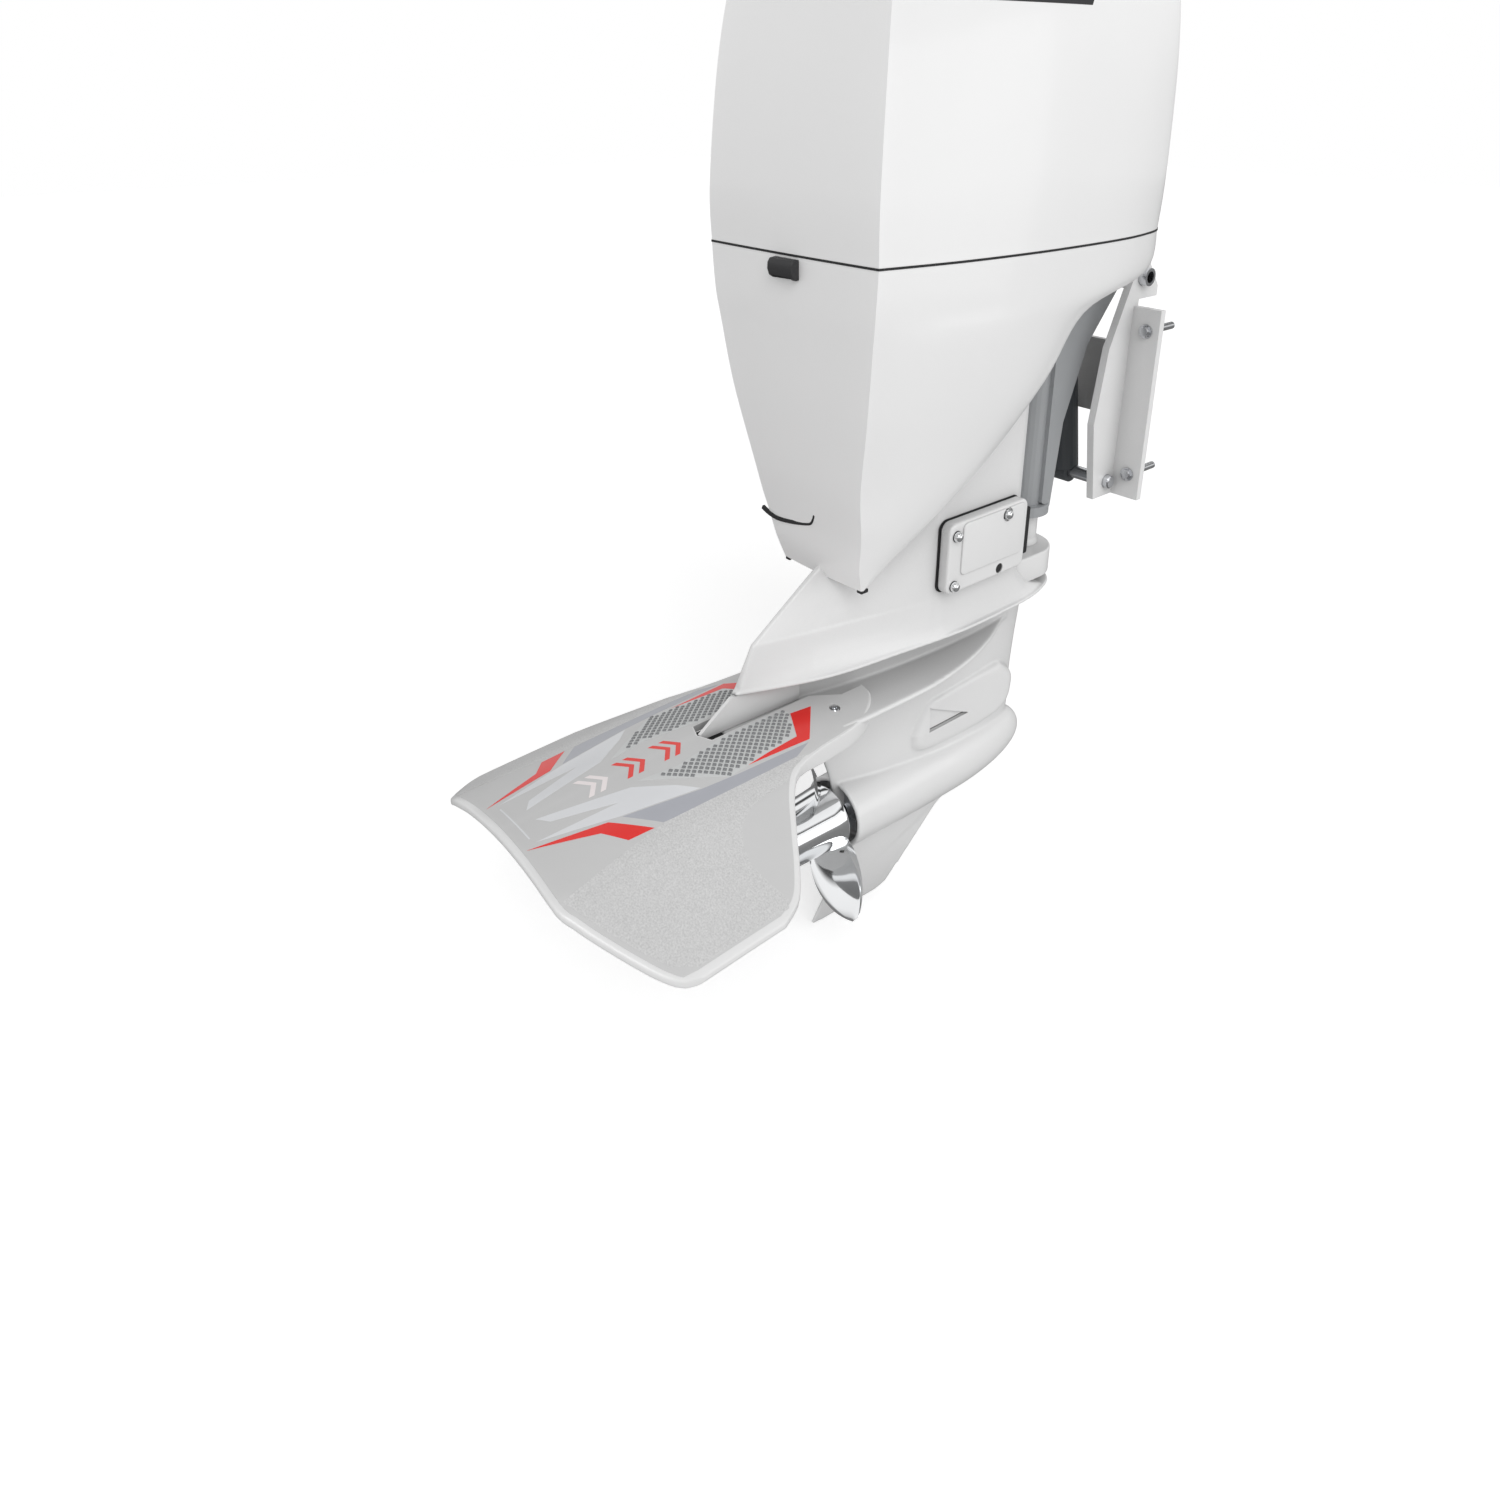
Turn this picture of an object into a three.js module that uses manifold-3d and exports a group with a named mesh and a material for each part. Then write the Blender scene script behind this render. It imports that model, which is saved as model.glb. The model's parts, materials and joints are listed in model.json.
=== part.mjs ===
// Outboard motor with a bolt-on hydrofoil, as an assembly of separate parts.
// Millimetres. +Z up, +Y forward (towards the boat), +X starboard.
// The origin is the centre of the face that rests on the boat's transom.
import * as THREE from 'three';
import { mergeVertices } from 'three/addons/utils/BufferGeometryUtils.js';
import Module from 'manifold-3d';

const wasm = await Module();
wasm.setup();

// ---- driving dimensions -------------------------------------------------
const GAP = 0.4; // clearance between neighbouring parts
const TILT_Y = 5; // tilt axis, above the transom's top edge
const TILT_Z = 165;
const TRANSOM_TOP = 130; // height of the transom's top edge over the origin
const STEER_Y = -140; // steering axis, aft of the transom
const TILT_TUBE_R = 14;
const TIE_Y = -30; // lower pin of the tilt ram
const TIE_Z = -165;
const TIE_R = 11;
const RAM_ANGLE = 10.6 * Math.PI / 180; // lean of the tilt ram at rest
const RAM_LENGTH = 229; // pin to eye at rest

// The leg frame holds everything that steers. Its origin is the middle of the
// hydrofoil's top face, 650 mm aft of the transom and 366 mm below the origin.
const LEG = new THREE.Vector3(0, -650, -366);
const AXIS_Y = STEER_Y - LEG.y; // steering axis in the leg frame
const PROP_Z = -250; // propeller axis in the leg frame
const CRANK_Y = 400; // crankshaft and drive shaft
const SHIFT_Y = 448; // shift rod, between midsection and swivel
const TORPEDO_REAR = 98;
const TORPEDO_R = 58;
const NOSE_Y = 536;
const PLATE_TOP = -10; // anti-ventilation plate
const PLATE_THICK = 8;
const SPLASH_Z = 36; // underside of the splash plate
const PROP_R = 150;
const PITCH = 400; // propeller advance in one turn
const FOIL_SPAN = 252; // half width of the hydrofoil
const COWL_SPLIT = 620; // joint between lower and top cowl

const parts = new THREE.Group();
const leg = new THREE.Group();
leg.position.copy(LEG);
parts.add(leg);

const FINISH = {
  white: [0xf2f2f2, 0.28, 0.0],
  grey: [0xb9bbbd, 0.5, 0.0],
  dark: [0x3c3f42, 0.5, 0.1],
  steel: [0xd8dadc, 0.12, 1.0],
  alloy: [0xb4b7ba, 0.42, 1.0],
  iron: [0x5a5d60, 0.6, 0.7],
  rubber: [0x1c1c1e, 0.8, 0.0],
  plastic: [0x2a2c2f, 0.45, 0.0],
};

// ---- helpers --------------------------------------------------------------
function add(name, finish, geometry, group = leg) {
  const [color, roughness, metalness] = FINISH[finish];
  const mesh = new THREE.Mesh(geometry, new THREE.MeshStandardMaterial({ color, roughness, metalness }));
  mesh.name = name;
  group.add(mesh);
  return mesh;
}

function manifold(geometry) {
  const bare = geometry.index ? geometry.clone() : geometry;
  bare.deleteAttribute('normal');
  bare.deleteAttribute('uv');
  const welded = mergeVertices(bare, 1e-4);
  return new wasm.Manifold(new wasm.Mesh({
    numProp: 3,
    vertProperties: new Float32Array(welded.attributes.position.array),
    triVerts: new Uint32Array(welded.index.array),
  }));
}

function geometryOf(solid) {
  const mesh = solid.getMesh();
  const geometry = new THREE.BufferGeometry();
  geometry.setAttribute('position', new THREE.BufferAttribute(new Float32Array(mesh.vertProperties), 3));
  geometry.setIndex(new THREE.BufferAttribute(new Uint32Array(mesh.triVerts), 1));
  geometry.computeVertexNormals();
  return geometry;
}

function join(...shapes) {
  return shapes.map(manifold).reduce((a, b) => a.add(b));
}

function cut(solid, ...shapes) {
  return shapes.map(manifold).reduce((a, b) => a.subtract(b), solid);
}

// A closed skin over rings of points, with a fan over each end.
function skin(rings) {
  const count = rings[0].length;
  const points = rings.flat();
  const faces = [];
  for (let r = 0; r + 1 < rings.length; r += 1) {
    for (let i = 0; i < count; i += 1) {
      const a = r * count + i;
      const b = r * count + (i + 1) % count;
      faces.push(a, b, a + count, b, b + count, a + count);
    }
  }
  [[0, false], [rings.length - 1, true]].forEach(([r, flip]) => {
    const centre = points.length;
    const sum = [0, 1, 2].map((k) => rings[r].reduce((s, p) => s + p[k], 0) / count);
    points.push(sum);
    for (let i = 0; i < count; i += 1) {
      const a = r * count + i;
      const b = r * count + (i + 1) % count;
      faces.push(...(flip ? [centre, a, b] : [centre, b, a]));
    }
  });
  const geometry = new THREE.BufferGeometry();
  geometry.setAttribute('position', new THREE.Float32BufferAttribute(points.flat(), 3));
  geometry.setIndex(volume(points, faces) < 0 ? faces.reverse() : faces);
  geometry.computeVertexNormals();
  return geometry;
}

function volume(points, faces) {
  let total = 0;
  for (let i = 0; i < faces.length; i += 3) {
    const [a, b, c] = [0, 1, 2].map((k) => new THREE.Vector3(...points[faces[i + k]]));
    total += a.dot(b.cross(c));
  }
  return total;
}

function box(x0, x1, y0, y1, z0, z1) {
  const geometry = new THREE.BoxGeometry(x1 - x0, y1 - y0, z1 - z0);
  return geometry.translate((x0 + x1) / 2, (y0 + y1) / 2, (z0 + z1) / 2);
}

// A turned solid: profile of [radius, height], turned about an axis.
function turned(profile, axis, at, segments = 24) {
  const points = profile.map(([r, h]) => new THREE.Vector2(r, h));
  if (THREE.ShapeUtils.isClockWise(points)) {
    points.reverse();
  }
  const geometry = new THREE.LatheGeometry(points, segments);
  if (axis === 'x') {
    geometry.rotateZ(-Math.PI / 2);
  }
  if (axis === 'z') {
    geometry.rotateX(Math.PI / 2);
  }
  return geometry.translate(...at);
}

// A rod or disc from height h0 to h1 along the axis.
function rod(radius, h0, h1, axis, at, segments = 24) {
  return turned([[0, h0], [radius, h0], [radius, h1], [0, h1]], axis, at, segments);
}

// A tube from h0 to h1, with a bore right through.
function tube(outer, inner, h0, h1, axis, at, segments = 24) {
  const profile = [[inner, h0], [outer, h0], [outer, h1], [inner, h1], [inner, h0]];
  return turned(profile, axis, at, segments);
}

// An outline drawn in the YZ plane, given thickness from x0 to x1.
function sideCut(outline, x0, x1) {
  const shape = new THREE.Shape(outline.map(([y, z]) => new THREE.Vector2(y, z)));
  const geometry = new THREE.ExtrudeGeometry(shape, { depth: x1 - x0, bevelEnabled: false });
  geometry.rotateX(Math.PI / 2);
  geometry.rotateZ(Math.PI / 2);
  return geometry.translate(x0, 0, 0);
}

// An outline drawn in the XY plane, given thickness from z0 to z1.
function planCut(outline, z0, z1) {
  const shape = new THREE.Shape(outline.map(([x, y]) => new THREE.Vector2(x, y)));
  const geometry = new THREE.ExtrudeGeometry(shape, { depth: z1 - z0, bevelEnabled: false });
  return geometry.translate(0, 0, z0);
}

// Mirrors half an outline of [x, y] points, given from rear to front, over x = 0.
function bothSides(half) {
  const port = half.filter(([x]) => x > 0).map(([x, y]) => [-x, y]);
  return [...half, ...port.reverse()];
}

function curve(points, steps) {
  const line = new THREE.SplineCurve(points.map(([x, y]) => new THREE.Vector2(x, y)));
  return line.getPoints(steps).map((p) => [p.x, p.y]);
}

// Points on a circular arc, from one angle to another in degrees.
function arc(cx, cy, radius, fromDegrees, toDegrees, steps) {
  const points = [];
  for (let i = 0; i <= steps; i += 1) {
    const a = THREE.MathUtils.degToRad(fromDegrees + (toDegrees - fromDegrees) * i / steps);
    points.push([cx + radius * Math.cos(a), cy + radius * Math.sin(a)]);
  }
  return points;
}

function sides(make) {
  make('starboard', 1);
  make('port', -1);
}

function mirrored(geometry, side) {
  if (side > 0) {
    return geometry;
  }
  const copy = geometry.clone().scale(-1, 1, 1);
  const index = copy.index ? Array.from(copy.index.array) : [...copy.attributes.position.array.keys()];
  if (!copy.index) {
    index.length = copy.attributes.position.count;
  }
  copy.setIndex(index.reverse());
  copy.computeVertexNormals();
  return copy;
}

// ---- transom bracket --------------------------------------------------------
function clampBracket() {
  const ear = arc(TILT_Y, TILT_Z, 24, 30, 170, 8);
  const web = [[0, -190], [0, TRANSOM_TOP], [50, TRANSOM_TOP], [50, 146], ...ear,
    [-66, 60], [-84, -60], [-62, -190]];
  const bracket = join(
    sideCut(web, 70, 82),
    box(81, 130, -12, 0, -190, 120),
  );
  const boltHoles = [85, -150].map((z) => rod(6.4, -20, 10, 'y', [108, 0, z], 16));
  return geometryOf(cut(
    bracket,
    rod(TILT_TUBE_R + GAP, 60, 90, 'x', [0, TILT_Y, TILT_Z]),
    rod(TIE_R + GAP, 60, 90, 'x', [0, TIE_Y, TIE_Z]),
    ...boltHoles,
  ));
}

function transomBolt() {
  const profile = [[0, -19], [11, -19], [11, -12 - GAP], [6, -12 - GAP], [6, 62], [0, 62]];
  return turned(profile, 'y', [0, 0, 0], 12);
}

function buildTransomBracket() {
  const bracket = clampBracket();
  sides((side, sign) => add(`clamp_bracket_${side}`, 'white', mirrored(bracket, sign), parts));
  add('transom_cross_plate', 'white', box(-69.5, 69.5, -10, 0, -60, 60), parts);
  add('tilt_tube', 'steel', tube(TILT_TUBE_R, 9, -94, 94, 'x', [0, TILT_Y, TILT_Z], 28), parts);
  add('lower_tie_bar', 'steel', rod(TIE_R, -92, 92, 'x', [0, TIE_Y, TIE_Z], 28), parts);
  sides((side, sign) => {
    [['upper', 85], ['lower', -150]].forEach(([place, z]) => {
      const bolt = add(`transom_bolt_${place}_${side}`, 'steel', transomBolt(), parts);
      bolt.position.set(108 * sign, 0, z);
    });
  });
}

// ---- swivel bracket and tilt ram ---------------------------------------------
function buildSwivel() {
  const at = [0, STEER_Y, 0];
  const rib = [[STEER_Y, 150], [STEER_Y, -190], [-118, -200], [-104, -60], [-60, 60], [TILT_Y + 12, 152],
    [TILT_Y, 184], [-60, 176]];
  const body = join(
    rod(32, -195, 176, 'z', at, 28),
    rod(44, -211, -194, 'z', at, 28),
    rod(22, -66, 66, 'x', [0, TILT_Y, TILT_Z], 28),
    sideCut(rib, 27, 39),
    sideCut(rib, -39, -27),
  );
  const hollow = cut(
    body,
    rod(25.2, -250, 250, 'z', at, 28),
    rod(TILT_TUBE_R + 0.7, -80, 80, 'x', [0, TILT_Y, TILT_Z], 28),
  );
  add('swivel_bracket', 'grey', geometryOf(hollow), parts);
}

// Ram parts are drawn upright with the pin at their origin, then leaned aft.
function buildTiltRam() {
  const barrel = cut(
    join(rod(20, -15, 15, 'x', [0, 0, 0]), rod(24, 8, 205, 'z', [0, 0, 0])),
    rod(TIE_R + 0.6, -30, 30, 'x', [0, 0, 0], 28),
    rod(9.7, 24, 210, 'z', [0, 0, 0]),
  );
  const eye = cut(
    join(rod(9, 36, RAM_LENGTH - 8, 'z', [0, 0, 0]), rod(15, -12, 12, 'x', [0, 0, RAM_LENGTH])),
    rod(8, -20, 20, 'x', [0, 0, RAM_LENGTH]),
  );
  [['tilt_cylinder', 'dark', barrel], ['tilt_ram_rod', 'steel', eye]].forEach(([name, finish, solid]) => {
    const mesh = add(name, finish, geometryOf(solid), parts);
    mesh.position.set(0, TIE_Y, TIE_Z);
    mesh.rotation.x = RAM_ANGLE;
  });
}

// ---- steering yokes and mounts -------------------------------------------------
function buildYokes() {
  const at = [0, AXIS_Y, 0];
  const armEnd = AXIS_Y + 106;
  const plate = bothSides([[0, AXIS_Y - 46], [70, AXIS_Y - 46], [70, AXIS_Y - 34], [42, AXIS_Y - 4],
    [20, AXIS_Y + 40], [16, armEnd], [0, armEnd]]);
  const bracket = cut(
    join(planCut(plate, 545, 562), box(-70, 70, AXIS_Y - 46, AXIS_Y - 36, 472, 550)),
    rod(24.6 + GAP, 500, 600, 'z', at, 28),
  );
  add('steering_bracket', 'white', geometryOf(bracket));
  add('steering_shaft', 'steel', rod(24.6, 100 + GAP, 566, 'z', at, 28));
  const yoke = bothSides([[0, 436], [56, 436], [58, AXIS_Y - 20], ...arc(0, AXIS_Y - 10, 58, 0, 80, 6),
    [0, AXIS_Y + 48]]);
  const shiftHole = rod(6, 0, 120, 'z', [0, SHIFT_Y, 0], 12);
  add('lower_yoke', 'white', geometryOf(cut(manifold(planCut(yoke, 54 + GAP, 100)), shiftHole)));
  sides((side, sign) => {
    const upper = rod(14, 430 + GAP, AXIS_Y - 46 - GAP, 'y', [56 * sign, 0, 487]);
    add(`upper_mount_${side}`, 'rubber', upper);
    add(`lower_mount_${side}`, 'rubber', rod(15, 262, 400, 'y', [50 * sign, 0, 160]));
  });
}

// Rounded plate over the lower rubber mount, with a boss at each bolt.
function buildMountCovers() {
  const half = { y0: 228, y1: 408, z0: 114, z1: 226, r: 14 };
  const outline = [
    ...arc(half.y1 - half.r, half.z1 - half.r, half.r, 0, 90, 4),
    ...arc(half.y0 + half.r, half.z1 - half.r, half.r, 90, 180, 4),
    ...arc(half.y0 + half.r, half.z0 + half.r, half.r, 180, 270, 4),
    ...arc(half.y1 - half.r, half.z0 + half.r, half.r, 270, 360, 4),
  ];
  const inner = [[250, 128], [390, 128], [390, 212], [250, 212]];
  const solid = cut(manifold(sideCut(outline, 67, 86)), sideCut(inner, 60, 80));
  const cover = geometryOf(solid);
  sides((side, sign) => {
    add(`mount_cover_${side}`, 'white', mirrored(cover, sign));
    [['aft', 242, 206], ['fore', 356, 212]].forEach(([place, y, z]) => {
      add(`mount_bolt_${place}_${side}`, 'steel', mirrored(rod(9, 86 + GAP, 94, 'x', [0, y, z], 12), sign));
    });
  });
}

// ---- midsection -------------------------------------------------------------------
// Half width of the leg's flank at a distance y, for a trailing edge at y0.
function flank(y, y0) {
  const rise = Math.min(1, Math.max(0, (y - y0) / (226 - y0)));
  return 3 + 63 * rise;
}

function trailingEdge(z) {
  if (z < 103) {
    return -90 + 23 * (z - SPLASH_Z) / 67;
  }
  return -67 + 1.44 * (z - 103);
}

function legSection(z, front) {
  const y0 = Math.min(230, trailingEdge(z));
  const stops = [0, 0.35, 0.7, 1].map((t) => y0 + (240 - y0) * t);
  const half = stops.map((y) => [flank(y, y0), y]);
  half.push([66, front - 30], [62, front - 10], [50, front]);
  return bothSides(half).map(([x, y]) => [x, y, z]);
}

// Half the splash plate's outline, from its rear point to its front.
const SPLASH_EDGE = [[0, -97], [10, -88], [51, 32], [68, 157], [80, 273], [80, 371], [74, 460],
  [56, 522], [32, 549], [0, 560]];

function buildMidsection() {
  const half = curve(SPLASH_EDGE, 26);
  const outline = [...half, ...half.slice(1, -1).reverse().map(([x, y]) => [-x, y])];
  const apron = skin([
    outline.map(([x, y]) => [x, y, SPLASH_Z]),
    outline.map(([x, y]) => [x * 0.93, y - 3, SPLASH_Z + 18]),
  ]);
  const lower = [SPLASH_Z + 8, 103].map((z) => legSection(z, 430));
  const upper = [102, 140, 178, 230, 300].map((z) => legSection(z, 430));
  const trunk = skin([[...legSection(299, 430)], [...legSection(470, 430)]]);
  const pocket = box(34, 70, 258, 404, 132, 188);
  const body = cut(
    join(apron, skin(lower), skin(upper), trunk),
    rod(18, 0, 500, 'z', [0, CRANK_Y, 0], 16),
    box(-26, 26, 250, 360, 0, 500),
    rod(6, 0, 120, 'z', [0, SHIFT_Y, 0], 12),
    pocket,
    mirrored(pocket, -1),
  );
  add('midsection_housing', 'white', geometryOf(body));
}

// ---- gearcase -----------------------------------------------------------------------
function torpedo() {
  const nose = [];
  for (let i = 1; i <= 10; i += 1) {
    const a = Math.PI / 2 * i / 10;
    nose.push([61 * Math.cos(a) ** 0.8 * (i < 10 ? 1 : 0), 330 + (NOSE_Y - 330) * Math.sin(a)]);
  }
  const profile = [[0, TORPEDO_REAR], [TORPEDO_R, TORPEDO_REAR], [59, 160], [61, 240], [61, 330], ...nose];
  return turned(profile, 'y', [0, 0, PROP_Z], 32);
}

// Streamlined section of the strut: blunt nose forward, thin tail aft.
function strutSection(z, lead, tail, thick) {
  const steps = 8;
  const half = [];
  for (let i = steps; i >= 0; i -= 1) {
    const s = (i / steps) ** 1.6;
    const shape = 2.6 * Math.sqrt(s) * (1 - s) ** 0.75;
    half.push([i === 0 ? 0 : Math.max(3, thick * shape), lead + (tail - lead) * s]);
  }
  return bothSides(half.map(([x, y]) => [Math.max(0, x), y])).map(([x, y]) => [x, y, z]);
}

// Height, leading edge, trailing edge and half thickness of the strut's sections.
const STRUT = [[35, 530, 14.6, 34], [-20, 524, 14.6, 33], [-80, 517, 40, 31], [-150, 512, 75, 30],
  [-200, 512, 92, 34], [-246, 500, 99, 40]];

// Half the anti-ventilation plate's outline, from its rear edge to its front.
const PLATE_EDGE = [[0, -122], [60, -118], [88, -70], [102, 20], [105, 120], [103, 206], [89, 293], [67, 367],
  [40, 429], [22, 478], [6, 520], [0, 522]];

function plateOutline(grow) {
  return bothSides(curve(PLATE_EDGE, 28).map(([x, y], i, all) => {
    const end = i === 0 || i === all.length - 1;
    return [end ? 0 : x + grow, y + (y < 0 ? -grow : grow)];
  }));
}

function skeg() {
  const outline = [[410, -296], [336, -344], [222, -446], [176, -451], [58, -446], [89, -398], [116, -300]];
  const starboard = outline.map(([y, z]) => {
    const wide = 3 + 5 * THREE.MathUtils.smoothstep(y, 60, 300);
    return [wide * (z > -310 ? 1.6 : 1), y, z];
  });
  const port = starboard.map(([x, y, z]) => [-x, y, z]);
  return skin([starboard, port]);
}

// Raised fairing round the cooling-water intake, and what is cut from its face:
// a shallow three-cornered dish with a slot along its lower edge.
const FAIRING_X = 40; // how far out the fairing's face lies
const SLOT = { y0: 272, y1: 358, z0: -156, z1: -151 };

function intakeFairing() {
  const outline = [[244, -150], [270, -100], [420, -96], [476, -140], [440, -178], [270, -178]];
  return sideCut(outline, 8, FAIRING_X);
}

function intakeCuts() {
  const dish = [[270, -113], [270, -156], [363, -156]];
  return [
    sideCut(dish, FAIRING_X - 3, FAIRING_X + 5),
    box(30, FAIRING_X + 5, SLOT.y0, SLOT.y1, SLOT.z0, SLOT.z1),
  ];
}

function buildGearcase() {
  const fairing = intakeFairing();
  const plate = planCut(plateOutline(0), PLATE_TOP - PLATE_THICK, PLATE_TOP);
  const strut = skin(STRUT.map((section) => strutSection(...section)));
  const body = cut(
    join(torpedo(), strut, plate, skeg(), fairing, mirrored(fairing, -1)),
    turned([[0, 90], [50, 90], [50, 300], [46, 440], [0, 440]], 'y', [0, 0, PROP_Z], 28),
    rod(14, PROP_Z, 60, 'z', [0, CRANK_Y, 0], 16),
    box(-14, 14, 190, 300, PROP_Z, 60),
    rod(6, -195, 60, 'z', [0, SHIFT_Y, 0], 12),
    ...intakeCuts(),
    ...intakeCuts().map((shape) => mirrored(shape, -1)),
  );
  add('gearcase_housing', 'white', geometryOf(body));
  const grille = box(30 + GAP, 34, SLOT.y0 + GAP, SLOT.y1 - GAP, SLOT.z0 + GAP, SLOT.z1 - GAP);
  sides((side, sign) => add(`water_intake_${side}`, 'dark', mirrored(grille, sign)));
}

// Upright fin that stands on the plate, in the hydrofoil's slot.
function buildAftFin() {
  const fin = [[14, 35], [14, PLATE_TOP + GAP], [-154, PLATE_TOP + GAP], [-160, -2], [-106, 35]];
  const wide = [8, 8, 3, 2.5, 2.5];
  const starboard = fin.map(([y, z], i) => [wide[i], y, z]);
  add('aft_fin', 'white', skin([starboard, starboard.map(([x, y, z]) => [-x, y, z])]));
}

function buildBearingCarrier() {
  const at = [0, 0, PROP_Z];
  const ears = [40, -40].map((x) => box(x - 8, x + 8, 100, 112, PROP_Z - 9, PROP_Z + 9));
  const bridge = box(-47, 47, 112, 124, PROP_Z - 9, PROP_Z + 9);
  const carrier = cut(
    join(rod(34, 112, 300, 'y', at), rod(49, 285, 300, 'y', at, 28), bridge, ...ears),
    rod(17, 90, 310, 'y', at, 28),
  );
  add('bearing_carrier', 'alloy', geometryOf(carrier));
}

// ---- hydrofoil ------------------------------------------------------------------------
const SLOT_HALF = 21; // half width of the slot round the fin

// Rear and front edges of one half, as [x, y], from the centre out to the wing tip.
const FOIL_REAR = [[0, -461], [135, -458], [172, -434], [208, -406], [238, -380], [FOIL_SPAN, -350]];
const FOIL_FRONT = [[0, -163], [SLOT_HALF, -154], [SLOT_HALF + 1.2, 104], [58, 104], [86, 78], [106, 48], [111, -10],
  [117, -60], [129, -98], [150, -121], [183, -146], [230, -180], [FOIL_SPAN, -218]];
const CREASE = 130; // where the wings bend down
const SCREW = [64, 30]; // the fixing screw in the starboard arm

function along(table, x) {
  const i = Math.max(1, table.findIndex(([place]) => place >= x));
  const [x0, y0] = table[i - 1];
  const [x1, y1] = table[i];
  return y0 + (y1 - y0) * (x - x0) / (x1 - x0);
}

// Height of the foil's top face: a shallow arch that turns down into the wings.
function foilTop(x, y) {
  const aft = THREE.MathUtils.clamp((-y - 60) / 400, 0, 1);
  const drop = 20 + 6 * aft;
  const out = Math.max(0, Math.abs(x) - CREASE);
  const arch = drop * Math.min(1, Math.abs(x) / CREASE) ** 2.2;
  return -10 * aft * aft - arch - 0.66 * out;
}

// The arms beside the slot are thicker than the wings.
function foilThickness(y) {
  return 11 + 16 * THREE.MathUtils.smoothstep(y, -130, -20);
}

function foilRing(x) {
  const rear = along(FOIL_REAR, Math.abs(x));
  const front = along(FOIL_FRONT, Math.abs(x));
  const steps = 7;
  const top = [];
  const bottom = [];
  for (let i = 0; i <= steps; i += 1) {
    const y = rear + (front - rear) * i / steps;
    const edge = i === 0 || i === steps ? 3 : 0;
    const z = foilTop(x, y);
    top.push([x, y, z - edge]);
    bottom.push([x, y, z - foilThickness(y) + edge]);
  }
  return [...top, ...bottom.reverse()];
}

function buildFoil() {
  const half = [0, SLOT_HALF, SLOT_HALF + 1.2, 38, 58, 74, 86, 98, 106, 111, 117, 129, 138, 150, 183, 216, 238, FOIL_SPAN];
  const stations = [...half.slice(1).reverse().map((x) => -x), ...half];
  const channel = skin([-60, 20].map((z) => {
    const edge = [[0, -163], [SLOT_HALF, -154], [SLOT_HALF, 20], [46, 60], [46, 140], [0, 140]];
    return bothSides(edge).map(([x, y]) => [x, y, z]);
  }));
  const plate = planCut(plateOutline(GAP), PLATE_TOP - PLATE_THICK - GAP, PLATE_TOP + GAP);
  const screwWell = rod(8, -8, 5, 'z', [...SCREW, 0], 16);
  const wells = [1, -1].map((sign) => mirrored(screwWell, sign));
  const body = cut(manifold(skin(stations.map(foilRing))), channel, plate, ...wells);
  add('hydrofoil', 'grey', geometryOf(body));
  sides((side, sign) => {
    const cap = rod(7, -8 + GAP, -4.5, 'z', [SCREW[0] * sign, SCREW[1], 0], 12);
    add(`foil_screw_${side}`, 'steel', cap);
  });
}

// ---- propeller -----------------------------------------------------------------------
const BLADE_ROOT = 40; // radius where a blade leaves the hub
const RAKE = 24; // how far the tips lean aft
const SKEW = THREE.MathUtils.degToRad(12); // how far the tips sweep back
const BLADE_Y = 50; // where the blades' axes cross the propeller's

// One blade: sections from the root, t = 0, to the tip, t = 1.
function blade(angle) {
  const rings = [];
  const stations = 8;
  for (let i = 0; i <= stations; i += 1) {
    const t = i / stations;
    const belly = Math.sin(Math.PI * Math.min(1, t * 0.92 + 0.1)) ** 0.8;
    rings.push(bladeSection(t, (50 + 30 * belly) * (1 - 0.7 * t ** 7), 6.5 - 4.3 * t, angle));
  }
  return skin(rings);
}

// A lens-shaped section, wrapped round the cylinder of its own radius.
function bladeSection(t, chord, thick, angle) {
  const r = BLADE_ROOT + (PROP_R - BLADE_ROOT) * t;
  const pitchAngle = Math.atan2(PITCH, 2 * Math.PI * r);
  const steps = 6;
  const loop = [];
  for (let k = 0; k < 2 * steps; k += 1) {
    const s = k <= steps ? k / steps : (2 * steps - k) / steps;
    const side = k <= steps ? 1 : -1;
    const bulge = k === 0 || k === steps ? 0.4 : thick / 2 * Math.sin(Math.PI * s) ** 0.6;
    const u = (s - 0.36) * chord;
    const v = side * bulge;
    const around = u * Math.cos(pitchAngle) - v * Math.sin(pitchAngle);
    const forward = u * Math.sin(pitchAngle) + v * Math.cos(pitchAngle) - RAKE * t;
    const a = angle - around / r - SKEW * t * t; // left-handed
    loop.push([r * Math.sin(a), BLADE_Y + forward, PROP_Z + r * Math.cos(a)]);
  }
  return loop;
}

function buildPropeller() {
  const at = [0, 0, PROP_Z];
  const hubProfile = [[46, 88], [50, 82], [47, 40], [45, -30], [50, -56], [46, -56], [41, -30], [42, 84],
    [46, 88]];
  const hub = turned(hubProfile, 'y', at, 28);
  const core = tube(22, 14.2, -20, 80, 'y', at, 24);
  const spokes = [0, 1, 2].map((i) => {
    const spoke = box(-3, 3, -15, 75, 18, 43);
    return spoke.rotateY(i * 2 * Math.PI / 3).translate(0, 0, PROP_Z);
  });
  const blades = [0, 1, 2].map((i) => blade(THREE.MathUtils.degToRad(136 + 120 * i)));
  const solid = join(hub, core, ...spokes, ...blades);
  const bore = rod(14.2, -60, 90, 'y', at, 24);
  const exhaustRoom = tube(40.5, 24, 81, 95, 'y', at, 28); // keeps blade roots out of the exhaust
  add('propeller', 'steel', geometryOf(cut(solid, bore, exhaustRoom)));
}

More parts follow.
